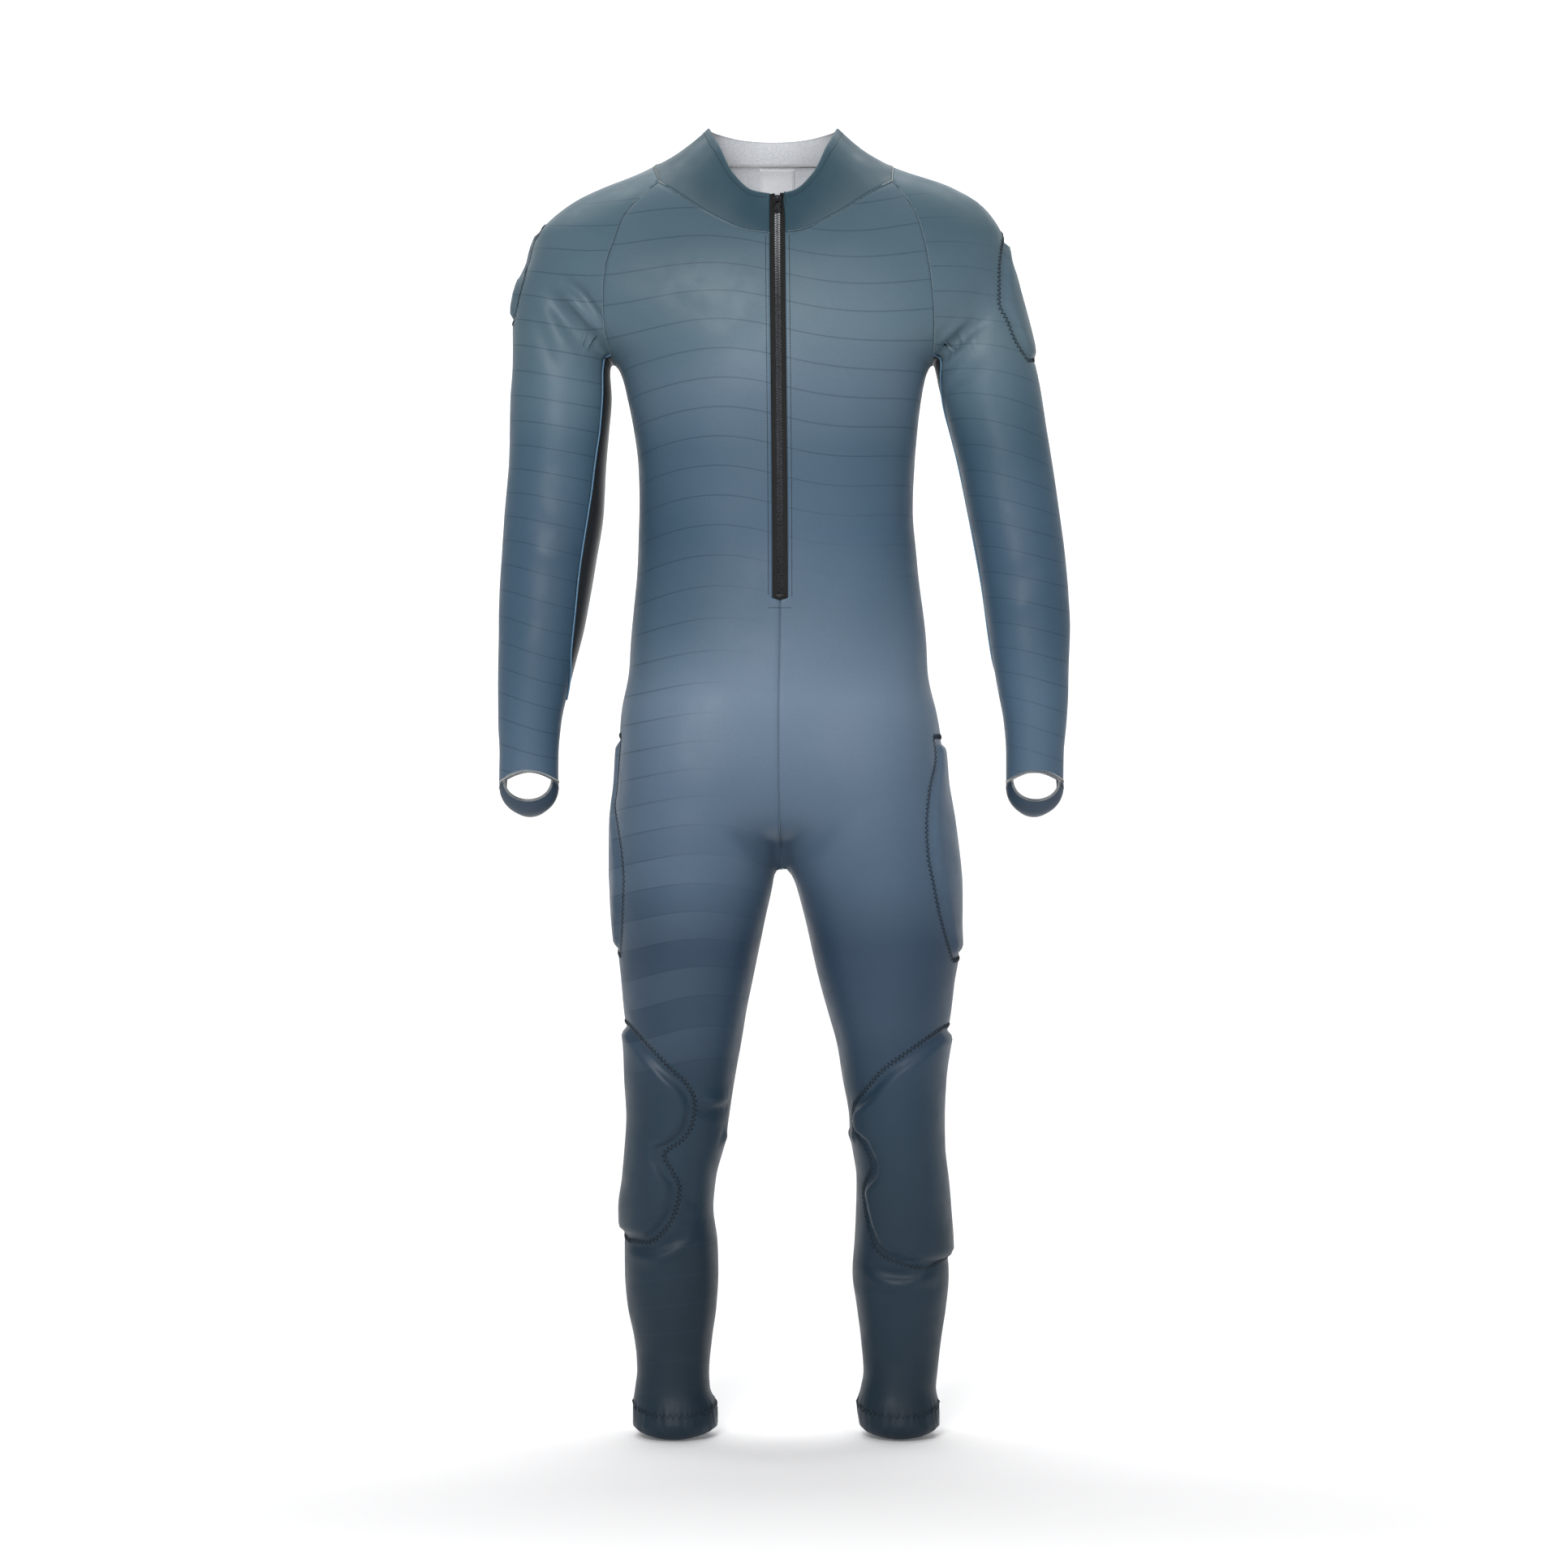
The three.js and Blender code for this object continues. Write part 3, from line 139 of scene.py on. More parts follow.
LABEL_OFF, LABEL_LEAN, LABEL_WAVE = 2.2, 1.3, 0.5  # how far the neck label stands off at its top, and more at its foot

VIEW_ANGLE = math.radians(26.12)
CAMERA = np.array([7.3, -3800.0, -694.0])
PIXEL = 0.9125  # mm of the suit's middle plane that one pixel of the photograph shows
ORIGIN_PIXEL = (958, 205)
SEEN_FROM, SEEN_DEPTH = -260, 420  # where lines of sight start to meet the suit, and how deep they are followed


def unit(v):
    return v / np.maximum(np.linalg.norm(v, axis=-1, keepdims=True), 1e-9)


def run_along(line):
    """How far along a line each of its points lies."""
    return np.concatenate([[0], np.cumsum(np.linalg.norm(np.diff(line, axis=0), axis=-1))])


def follow(t, run, rows):
    """What rows of values that belong to the places in run are at the places t."""
    return np.stack([np.interp(t, run, column) for column in rows.T], axis=-1)


def tangents_of(slopes):
    """The slopes at a curve's points, from those of its steps, with no overshoot."""
    before, after = slopes[:-1], slopes[1:]
    product = before * after
    inner = np.where(product > 0, 2 * product / np.where(product > 0, before + after, 1), 0)
    return np.concatenate([slopes[:1], inner, slopes[-1:]])


def cubic(start, end, first_slope, last_slope, span, t):
    t2, t3 = t * t, t * t * t
    return (start * (2 * t3 - 3 * t2 + 1) + end * (3 * t2 - 2 * t3)
            + span * (first_slope * (t3 - 2 * t2 + t) + last_slope * (t3 - t2)))


def smooth_curve(keys, values):
    """One smooth curve through its points, with no overshoot; flat past its ends."""
    order = np.argsort(keys)
    keys = np.asarray(keys, float)[order]
    values = np.asarray(values, float)[order]
    tangents = tangents_of(np.diff(values) / np.diff(keys))

    def curve(key):
        key = np.clip(np.asarray(key, float), keys[0], keys[-1])
        i = np.clip(np.searchsorted(keys, key, side="right") - 1, 0, len(keys) - 2)
        span = keys[i + 1] - keys[i]
        return cubic(values[i], values[i + 1], tangents[i], tangents[i + 1], span, (key - keys[i]) / span)
    return curve


def columns(rows):
    """A smooth curve for each column of a table after its first."""
    keys = [row[0] for row in rows]
    return [smooth_curve(keys, [row[i] for row in rows]) for i in range(1, len(rows[0]))]


class Tube:
    """An oval at every height."""

    def __init__(self, rows, right, left, roundness):
        curves = columns(rows)
        heights = [row[0] for row in rows]
        self.low, self.high = min(heights), max(heights)
        self.z = np.arange(self.low, self.high + 1, 1.0)
        self.lines = [curves[i](self.z) for i in (right, left, -2, -1)]
        self.n = roundness

    def outlines(self, z):
        return [np.interp(z, self.z, line) for line in self.lines]

    def middle(self, z):
        right, left, front, back = self.outlines(z)
        return (right + left) / 2, (front + back) / 2

    def distance(self, p):
        x, y, z = p[..., 0], p[..., 1], p[..., 2]
        right, left, front, back = self.outlines(z)
        half_width, half_depth = (left - right) / 2, (back - front) / 2
        across = np.abs(x - (right + left) / 2) / half_width + 1e-6
        deep = np.abs(y - (front + back) / 2) / half_depth + 1e-6
        n = self.n
        size = (across ** n + deep ** n) ** (1 / n)
        slope = np.hypot(across ** (n - 1) / half_width, deep ** (n - 1) / half_depth) * size ** (1 - n)
        beyond = np.maximum(np.maximum(self.low - z, z - self.high), 0)
        return (size - 1) / slope + beyond


BODY = Tube(TRUNK, 0, 1, 2.3)
ARM = {"right": Tube(ARMS, 0, 1, 2.1), "left": Tube(ARMS, 2, 3, 2.1)}
LEG = {"right": Tube(LEGS, 0, 1, 2.1), "left": Tube(LEGS, 2, 3, 2.1)}
CENTRE_X = columns(CENTRE)[0]
SEAM_HEIGHT, RIM_HEIGHT, RIM_RADIUS = columns(COLLAR)
RAGLAN_X = dict(zip([(side, facing) for facing in ("front", "back") for side in SIGN], columns(RAGLANS)))
SEAM_ANGLE = columns(SIDE_SEAM)[0]
UNDER_FRONT, UNDER_BACK = columns(UNDERARM)


def blend(a, b, reach):
    overlap = np.maximum(reach - np.abs(a - b), 0) / reach
    return np.minimum(a, b) - overlap * overlap * reach / 4


def form_distance(p):
    """Roughly how far points lie outside the worn form."""
    distance = BODY.distance(p)
    legs = blend(LEG["right"].distance(p), LEG["left"].distance(p), LEG_BLEND)
    distance = np.where(p[..., 2] < LEG["right"].high, blend(distance, legs, HIP_BLEND), distance)
    arm = np.where(p[..., 0] < 0, ARM["right"].distance(p), ARM["left"].distance(p))
    return blend(distance, arm, ARM_BLEND)


def slope_at(p):
    """How fast the distance grows along x, y and z."""
    return np.stack([form_distance(p + s) - form_distance(p - s) for s in 0.5 * np.eye(3)], axis=-1)


def outward(p):
    return unit(slope_at(p))


def crossing(start, direction, reach, stride=8.0):
    """Where lines first enter or leave the form."""
    start, direction = np.broadcast_arrays(np.asarray(start, float), np.asarray(direction, float))
    inside = form_distance(start) < 0
    near = np.zeros(start.shape[:-1])
    going = np.ones(near.shape, bool)
    for _ in range(int(reach / stride)):
        flips = (form_distance(start + direction * (near + stride)[..., None]) < 0) != inside
        going &= ~flips
        if not going.any():
            break
        near = np.where(going, near + stride, near)
    far = near + stride
    for _ in range(18):
        half = (near + far) / 2
        same = (form_distance(start + direction * half[..., None]) < 0) == inside
        near, far = np.where(same, half, near), np.where(same, far, half)
    return start + direction * ((near + far) / 2)[..., None]


def settle(p, rounds=7):
    """Moves points along the form's slope until they lie on its surface."""
    for _ in range(rounds):
        way = slope_at(p)
        steepness = np.linalg.norm(way, axis=-1)
        step = np.clip(form_distance(p) / steepness, -SETTLE_STEP, SETTLE_STEP)
        p = p - way * (step / steepness)[..., None]
    return p


def vectors(*parts):
    return np.stack(np.broadcast_arrays(*[np.asarray(part, float) for part in parts]), axis=-1)


def smoothstep(low, high, value):
    t = np.clip((np.asarray(value, float) - low) / (high - low), 0, 1)
    return t * t * (3 - 2 * t)


def mix(a, b, t):
    return a + (b - a) * t


def facing_point(facing, x, z):
    """The point of the form straight in front of or behind a place, for heights of the trunk and legs."""
    side = -1 if facing == "front" else 1
    return crossing(vectors(x, side * OUTSIDE, z), side * FORWARD, 2 * OUTSIDE)



def seen(px, py):
    """The point of the worn form that the photograph shows at a pixel of its 1932 x 1932 frame."""
    x, z = (np.asarray(px, float) - ORIGIN_PIXEL[0]) * PIXEL, (ORIGIN_PIXEL[1] - np.asarray(py, float)) * PIXEL
    way = unit(vectors(x, 0, z) - CAMERA)
    start = CAMERA + way * ((SEEN_FROM - CAMERA[1]) / way[..., 1])[..., None]
    along = start[..., None, :] + way[..., None, :] * np.arange(0, SEEN_DEPTH, 4.0)[:, None]
    distances = form_distance(along)
    nearest = np.take_along_axis(along, distances.argmin(axis=-1)[..., None, None], axis=-2)[..., 0, :]
    hit = crossing(start, way, SEEN_DEPTH, 3.0)
    return np.where((distances.min(axis=-1) < -1)[..., None], hit, settle(nearest))


ARMPIT = {side: crossing(np.array(ARMPIT_START[side], float), UP, 200) for side in SIGN}
CROTCH = crossing(np.array([CENTRE_X(-781), 8, -900.0]), UP, 200)


def body_axis(side, z):
    """The upright line inside each half of the suit that its panels are measured round."""
    leg_x, leg_y = LEG[side].middle(np.minimum(z, AXIS_LOW))
    t = smoothstep(AXIS_LOW, AXIS_HIGH, z)
    return mix(leg_x, SIGN[side] * AXIS_OUT, t), mix(leg_y, 0, t)


def angle_of(side, axis, p):
    """Angles round an axis: 0 at the side seam, a quarter turn at the front."""
    return np.arctan2(axis[1] - p[..., 1], SIGN[side] * (p[..., 0] - axis[0]))


def point_at(side, axis, angle, z):
    way = vectors(SIGN[side] * np.cos(angle), -np.sin(angle), 0)
    return crossing(vectors(axis[0], axis[1], z), way, REACH)


def centre_point(side, facing, z):
    beside = np.logical_and(facing == "front", z >= ZIP_FOOT)
    return facing_point(facing, CENTRE_X(z) + np.where(beside, SIGN[side] * ZIP_OPENING / 2, 0), z)


def limits(side, facing, z):
    """The axis at a height, and the angles of a panel's middle edge and of its side edge."""
    axis = body_axis(side, z)
    turn = 1 if facing == "front" else -1
    raglan = angle_of(side, axis, facing_point(facing, RAGLAN_X[side, facing](z), z))
    outer = np.where(z > ARMPIT[side][2] + 1, raglan, np.radians(SEAM_ANGLE(z)))
    centre = angle_of(side, axis, centre_point(side, facing, z))
    centre = np.where(turn * centre < 0, centre + turn * 2 * np.pi, centre)
    inner = np.where(z > CROTCH[2] + 0.01, centre, turn * np.pi)
    return axis, inner, outer


SHARES = {"front": np.linspace(0, 1, 12), "back": np.linspace(0, 1, 8)}


def panel_points(side, facing, z, share):
    axis, inner, outer = limits(side, facing, z)
    angle = mix(inner, outer, share)
    tilt = 1 - smoothstep(LEG_LEVELS[-1], HEM_RISE, z)
    lean = np.sin(angle)
    ray = point_at(side, axis, angle, z - tilt * np.where(lean > 0, HEM_DROP, HEM_LIFT) * lean)
    middle = np.logical_and(share == 0, z > CROTCH[2] + 0.01)
    return np.where(middle[..., None], centre_point(side, facing, z), ray)


def neck_turn(p):
    """Angles round the neck, from its front."""
    return np.arctan2(p[..., 0] - NECK[0], NECK[1] - p[..., 1])


def on_collar_seam(point_at_height, count):
    """The points at which lines up the form reach the height of the collar's seam."""
    low, high = np.full(count, NECK_LOW), np.full(count, NECK_HIGH)
    for _ in range(20):
        half = (low + high) / 2
        below = half < SEAM_HEIGHT(np.degrees(np.abs(neck_turn(point_at_height(half)))))
        low, high = np.where(below, half, low), np.where(below, high, half)
    return point_at_height((low + high) / 2)


def panel_grid(side, facing):
    """Rows from the collar's seam to the hem, columns from the middle to the side."""
    shares = SHARES[facing]
    count = len(shares)

    def at_heights(z):
        p = panel_points(side, facing, z, shares)
        p[..., -1, :] = facing_point(facing, RAGLAN_X[side, facing](z[..., -1]), z[..., -1])
        return p
    tops = on_collar_seam(at_heights, count)
    level = mix((ARMPIT["right"][2] + ARMPIT["left"][2]) / 2, ARMPIT[side][2], np.arange(count) / (count - 1))
    t = 1 - (1 - np.arange(1, RAGLAN_ROWS) / RAGLAN_ROWS)[:, None] ** 2
    yoke = at_heights(mix(tops[:, 2], level, t))
    chest = panel_points(side, facing, level, shares)
    chest[-1] = ARMPIT[side]
    heights = np.array(TRUNK_LEVELS + [CROTCH[2]] + LEG_LEVELS, float)
    below = panel_points(side, facing, np.repeat(heights[:, None], count, axis=1), shares)
    below[len(TRUNK_LEVELS), 0] = CROTCH
    return np.concatenate([[tops], yoke, [chest], below])


# Finer grids

def hermite(grid, counts):
    """The grid with each step between rows cut into counts[i], along smooth curves that don't overshoot."""
    steps = np.linalg.norm(np.diff(grid, axis=0), axis=-1)
    span = np.maximum(steps, 1e-6)[..., None]
    tangents = tangents_of(np.diff(grid, axis=0) / span)
    rows = [cubic(grid[i], grid[i + 1], tangents[i], tangents[i + 1], span[i], k / count)
            for i, count in enumerate(counts) for k in range(count)]
    return np.array(rows + [grid[-1]])


def refine(grid, row_counts, column_counts):
    rows = hermite(grid, row_counts)
    return settle(hermite(rows.transpose(1, 0, 2), column_counts).transpose(1, 0, 2))


coarse = {(side, facing): panel_grid(side, facing) for side in SIGN for facing in ("front", "back")}
lengths = np.linalg.norm(np.diff(coarse["right", "front"][:, 5], axis=0), axis=-1)
ROW_COUNTS = [max(1, round(length / GRID_STEP)) for length in lengths]
ROW_AT = np.concatenate([[0], np.cumsum(ROW_COUNTS)])
COLUMN_COUNTS = {"front": [5] * 11, "back": [7] * 7}
fine = {key: refine(grid, ROW_COUNTS, COLUMN_COUNTS[key[1]]) for key, grid in coarse.items()}
CROTCH_ROW = ROW_AT[RAGLAN_ROWS + 1 + len(TRUNK_LEVELS)]
ARMPIT_ROW = ROW_AT[RAGLAN_ROWS]
ZIP_ROW = ROW_AT[RAGLAN_ROWS + 1 + TRUNK_LEVELS.index(ZIP_FOOT)]
for facing in ("front", "back"):
    first = ZIP_ROW + 1 if facing == "front" else 0
    shared = (fine["right", facing][first:CROTCH_ROW + 1, 0] + fine["left", facing][first:CROTCH_ROW + 1, 0]) / 2
    for side in SIGN:
        fine[side, facing][first:CROTCH_ROW + 1, 0] = shared
for side in SIGN:
    fine[side, "back"][ARMPIT_ROW:, -1] = fine[side, "front"][ARMPIT_ROW:, -1]
    fine[side, "back"][CROTCH_ROW:, 0] = fine[side, "front"][CROTCH_ROW:, 0]


def collar_seam_points(degrees, side):
    angle = np.radians(degrees)
    way = vectors(SIGN[side] * np.sin(angle), -np.cos(angle), 0)
    return on_collar_seam(lambda z: crossing(vectors(NECK[0], NECK[1], z), way, REACH), len(degrees))


def arm_point(side, degrees, level):
    """A point of the arm: 0 degrees is its inner side. Rows rise to the shoulder and dip at the wrist's sides."""
    angle = np.radians(degrees)
    rise = SHOULDER_RISE * smoothstep(RISE_FROM, SLEEVE_LEVELS[0], level)
    drop = WRIST_DROP * (1 - smoothstep(WRIST, DROP_FROM, level))
    z = level + rise * (1 - np.cos(angle)) / 2 - drop * np.cos(angle) ** 2
    x, y = ARM[side].middle(z)
    return crossing(vectors(x, y, z), vectors(-SIGN[side] * np.cos(angle), -np.sin(angle), 0), ARM_REACH)


def sleeve_columns(side, line, angles_at, last):
    """Rows from the seam that joins a piece to the trunk down the arm to the level last."""
    first = arm_point(side, angles_at(SLEEVE_LEVELS[0]), SLEEVE_LEVELS[0])
    bend = mix(line, first, np.array([0.75, 0.5, 0.25]))
    rows = [line]
    for row in range(1, YOKE_ROWS):
        t = row / YOKE_ROWS
        rows.append(settle(mix(mix(line, bend, t), mix(bend, first, t), t), 20))
    rows.append(first)
    rows += [arm_point(side, angles_at(level), level) for level in SLEEVE_LEVELS[1:] if level >= last]
    return np.array(rows)


def shares_along(line):
    run = run_along(line)
    return run / run[-1]


TOP_COUNTS = [5, 5, 5, 5]
SLEEVE_COUNTS = [6] * YOKE_ROWS + [8] * 6 + [7, 7, 6, 1, 7, 6, 4]
sleeve, underarm, shoulder_top = {}, {}, {}
for side in SIGN:
    front = coarse[side, "front"][RAGLAN_ROWS - 1::-1, -1]
    back = coarse[side, "back"][:RAGLAN_ROWS, -1]
    turns = np.degrees(np.abs(neck_turn(np.array([front[-1], back[0]]))))
    top = collar_seam_points(mix(turns[0], turns[1], np.arange(1, 4) / 4), side)
    line = np.concatenate([front[1:], top, back[:-1]])
    shares = shares_along(line)
    turn = ARM_TURN[side]

    def sleeve_angles(level):
        return mix(UNDER_FRONT(level) + turn, UNDER_BACK(level) + turn + 360, shares)
    down = ROW_COUNTS[:RAGLAN_ROWS - 2]
    rows = sleeve_columns(side, line, sleeve_angles, WRIST)
    grid = refine(rows, SLEEVE_COUNTS, down[::-1] + TOP_COUNTS + down)
    edge_front = fine[side, "front"][:ROW_AT[RAGLAN_ROWS - 2] + 1, -1]
    edge_back = fine[side, "back"][:ROW_AT[RAGLAN_ROWS - 2] + 1, -1]
    grid[0, :len(edge_front)] = edge_front[::-1]
    grid[0, -len(edge_back):] = edge_back
    shoulder_top[side] = grid[0, len(edge_front) - 1:len(grid[0]) - len(edge_back) + 1].copy()
    sleeve[side] = grid
    under_line = np.array([back[-2], back[-1], ARMPIT[side], front[0], front[1]])
    under_shares = shares_along(under_line)

    def under_angles(level):
        return mix(UNDER_BACK(level) + turn, UNDER_FRONT(level) + turn, under_shares)
    ends = ROW_COUNTS[RAGLAN_ROWS - 2:RAGLAN_ROWS]
    rows = sleeve_columns(side, under_line, under_angles, UNDERARM_END)
    grid = refine(rows, SLEEVE_COUNTS[:len(rows) - 1], ends + ends[::-1])
    cut = slice(ROW_AT[RAGLAN_ROWS - 2], ROW_AT[RAGLAN_ROWS] + 1)
    grid[0] = np.concatenate([fine[side, "back"][cut, -1], fine[side, "front"][cut, -1][-2::-1]])
    grid[:, 0] = sleeve[side][:len(grid), -1]
    grid[:, -1] = sleeve[side][:len(grid), 0]
    underarm[side] = grid


# Creases and pads, in pixels of the photograph

def polyline(points, step=4.0):
    """Points through a few seen pixels, close together."""
    p = np.array(points, float)
    run = run_along(p)
    t = np.linspace(0, run[-1], max(3, int(run[-1] / step)))
    return np.stack([smooth_curve(run, column)(t) for column in p.T], axis=-1)


CREASES = [  # piece, width and height in mm (below zero is a trough), seen pixels
    ("sleeve_right", 7, -6.5, [(684, 339), (714, 361), (735, 388), (746, 402)]),
    ("sleeve_right", 8, 5.0, [(690, 352), (712, 376), (732, 400)]),
    ("sleeve_right", 8, -3.4, [(672, 352), (690, 384), (714, 420)]),
    ("sleeve_right", 9, 2.6, [(664, 366), (684, 408), (704, 440)]),
    ("sleeve_right", 7, -2.4, [(660, 392), (672, 424), (684, 452)]),
    ("sleeve_right", 14, -1.6, [(650, 640), (690, 655), (722, 650)]),
    ("sleeve_right", 12, 1.4, [(640, 668), (684, 684), (716, 676)]),
    ("sleeve_left", 7, -6.5, [(1152, 446), (1172, 430), (1190, 413), (1220, 388)]),
    ("sleeve_left", 9, 4.6, [(1158, 456), (1180, 438), (1206, 412)]),
    ("sleeve_left", 7, -4.4, [(1154, 467), (1180, 441), (1212, 415)]),
    ("sleeve_left", 8, 3.2, [(1152, 428), (1172, 408), (1196, 384)]),
    ("sleeve_left", 8, -3.0, [(1164, 478), (1190, 462), (1216, 452)]),
    ("sleeve_left", 13, -1.6, [(1218, 700), (1250, 712), (1286, 700)]),
    ("sleeve_left", 12, 1.4, [(1224, 734), (1256, 744), (1290, 730)]),
    ("front_right", 7, -4.0, [(772, 1531), (790, 1537), (809, 1538), (852, 1518)]),
    ("front_right", 8, 4.0, [(774, 1544), (805, 1549), (850, 1532)]),
    ("front_right", 6, -5.0, [(857, 1361), (869, 1368), (884, 1368), (899, 1362)]),
    ("front_right", 8, 3.6, [(862, 1352), (878, 1356), (900, 1350)]),
    ("front_right", 9, 3.4, [(886, 1396), (893, 1401), (899, 1403)]),
    ("front_right", 5, -1.8, [(838, 1464), (850, 1478), (868, 1490)]),
    ("front_right", 5, -1.6, [(834, 1492), (848, 1502), (872, 1506)]),
    ("front_left", 9, 3.2, [(1044, 1391), (1050, 1396), (1056, 1404)]),
    ("front_left", 6, -4.6, [(1071, 1560), (1092, 1569), (1112, 1572), (1148, 1563)]),
    ("front_left", 7, 4.2, [(1066, 1571), (1106, 1582), (1146, 1575)]),
    ("front_left", 6, -1.8, [(1126, 1588), (1142, 1590), (1160, 1584)]),
    ("front_left", 6, -1.6, [(1050, 1352), (1044, 1362), (1034, 1366)]),
    ("front_right", 16, -2.2, [(905, 1010), (925, 1030), (946, 1048)]),
    ("front_left", 16, -2.2, [(1030, 1008), (1006, 1030), (980, 1046)]),
    ("front_right", 12, 1.4, [(886, 1026), (912, 1046), (936, 1066)]),
    ("front_left", 12, 1.4, [(1048, 1026), (1022, 1046), (996, 1066)]),
    ("front_right", 10, -1.2, [(776, 1660), (800, 1668), (850, 1664)]),
    ("front_left", 10, -1.2, [(1072, 1672), (1110, 1682), (1150, 1674)]),
]
BACK_CREASES = [  # width and height in mm, points of the back (x, z)
    (12, -2.4, [(-128, -462), (-80, -474), (-20, -470), (40, -478), (96, -468), (132, -458)]),
    (14, 2.0, [(-118, -486), (-40, -496), (36, -498), (112, -488)]),
    (12, -1.8, [(-104, -514), (-30, -524), (44, -520), (92, -510)]),
    (9, -3.0, [(-150, -236), (-132, -268), (-118, -306)]),
    (10, 2.2, [(-138, -232), (-118, -262), (-104, -298)]),
    (9, -3.0, [(144, -234), (124, -270), (112, -304)]),
    (10, 2.0, [(130, -230), (110, -262), (100, -292)]),
    (10, -3.4, [(-118, -796), (-80, -808), (-38, -800)]),
    (10, -3.0, [(126, -802), (92, -812), (48, -802)]),
    (9, 2.0, [(-112, -816), (-76, -828), (-44, -820)]),
    (9, 2.0, [(120, -820), (90, -832), (58, -824)]),
    (6, -3.2, [(-140, -1074), (-112, -1084), (-84, -1078)]),
    (7, 2.4, [(-138, -1090), (-110, -1100), (-86, -1094)]),
    (6, -2.6, [(-142, -1108), (-114, -1116), (-92, -1108)]),
    (6, -3.2, [(104, -1078), (132, -1086), (160, -1074)]),
    (7, 2.4, [(106, -1094), (134, -1102), (160, -1092)]),
    (6, -2.4, [(110, -1112), (136, -1118), (160, -1108)]),
    (7, -1.8, [(-146, -1322), (-118, -1332), (-94, -1324)]),
    (7, -1.8, [(114, -1326), (138, -1336), (162, -1326)]),
    (22, 2.2, [(-6, -330), (0, -260), (2, -180)]),
]
PAD_LINES = {  # piece, thickness in mm, seen pixels of the zigzag line at the pad's front edge
    "hip_right": ("front_right", 4.5, [(757, 905), (756, 940), (757, 976), (761, 1015), (766, 1053), (769, 1084),
                                       (767, 1130), (764, 1177)]),
    "knee_right": ("front_right", 7.0, [(771, 1257), (797, 1286), (827, 1317), (848, 1338), (857, 1361), (852, 1388),
                                        (841, 1404), (818, 1423), (827, 1441), (838, 1464), (834, 1487), (820, 1514),
                                        (797, 1531), (774, 1528)]),
    "hip_left": ("front_left", 4.5, [(1150, 907), (1153, 933), (1145, 974), (1142, 1016), (1144, 1056), (1149, 1083),
                                     (1156, 1119), (1165, 1152), (1174, 1183)]),
    "knee_left": ("front_left", 7.0, [(1168, 1261), (1142, 1279), (1114, 1299), (1089, 1317), (1066, 1343),
                                      (1050, 1368), (1052, 1389), (1066, 1414), (1074, 1437), (1063, 1465),
                                      (1066, 1493), (1080, 1540), (1112, 1557), (1140, 1562), (1166, 1548)]),
    "shoulder_right": ("sleeve_right", 5.0, [(673, 272), (659, 298), (650, 330), (643, 356), (637, 380), (632, 400)]),
    "shoulder_left": ("sleeve_left", 5.0, [(1238, 286), (1233, 310), (1231, 333), (1231, 373), (1241, 394), (1251, 420),
                                           (1266, 444)]),
}


PAD_EDGE, PAD_SLOPE = 8, 9  # how far inside its line a pad starts to rise, and over how many mm
GROOVE, GROOVE_WIDTH, GROOVE_DEPTH = 5, 4, 0.8  # the dent beside the line, measured from it
PAD_TOP = -64  # no pad line is drawn above this height
PAD_FRONT = math.radians(16)  # and none nearer to the side than this
PAD_BACK = {"sleeve": math.radians(-48), "front": math.radians(-34)}


def pad_axis(piece, z):
    side = piece.split("_")[1]
    return ARM[side].middle(z) if piece.startswith("sleeve") else body_axis(side, z)


class Pad:
    """A foam pad under the cloth: everything from its seen line round the side to behind it."""

    def __init__(self, name):
        self.piece, self.thickness, pixels = PAD_LINES[name]
        self.side = self.piece.split("_")[1]
        self.line = seen(*polyline(pixels, 6.0).T)
        self.line = self.line[self.line[:, 2] < PAD_TOP]
        z = self.line[:, 2]
        axis = pad_axis(self.piece, z)
        angle = np.maximum(angle_of(self.side, axis, self.line), PAD_FRONT)
        self.line = point_at(self.side, axis, angle, z)
        order = np.argsort(z)
        self.z, self.angle = z[order], angle[order]
        self.low, self.high = self.z[0], self.z[-1]
        self.back_angle = PAD_BACK[self.piece.split("_")[0]]

    def inside(self, p):
        """How far points lie inside the line, in mm, and below zero outside it."""
        z = p[..., 2]
        axis = pad_axis(self.piece, z)
        angle = angle_of(self.side, axis, p)
        radius = np.hypot(p[..., 0] - axis[0], p[..., 1] - axis[1])
        below, edge, above = [np.interp(z + step, self.z, self.angle) for step in (-3, 0, 3)]
        slope = (above - below) / 6
        ahead = (edge - angle) * radius / np.sqrt(1 + (slope * radius) ** 2)
        behind = (angle - self.back_angle) * radius
        ends = np.minimum(self.high - z, z - self.low)
        return np.minimum(np.minimum(ahead, behind), ends)

    def swell(self, depth, start, reach):
        return self.thickness * (1 - (1 - np.clip((depth - start) / reach, 0, 1)) ** 2.4)

    def lift(self, p):
        depth = self.inside(p)
        groove = np.exp(-((depth - GROOVE) / GROOVE_WIDTH) ** 2)
        return self.swell(depth, PAD_EDGE, PAD_SLOPE) - GROOVE_DEPTH * groove


pads = {name: Pad(name) for name in PAD_LINES}


def line_lift(p, line, width, height):
    """A soft ridge or trough along a line, fading towards its ends."""
    lift = np.zeros(p.shape[:-1])
    low, high = line.min(axis=0) - 3 * width, line.max(axis=0) + 3 * width
    near = np.logical_and(p > low, p < high).all(axis=-1)
    if not near.any():
        return lift
    gaps = np.linalg.norm(p[near][:, None] - line[None], axis=-1)
    nearest = gaps.argmin(axis=1)
    t = nearest / (len(line) - 1)
    fade = np.sqrt(np.sin(np.pi * np.clip(t, 0.02, 0.98)))
    lift[near] = height * fade * np.exp(-(gaps.min(axis=1) / width) ** 2)
    return lift


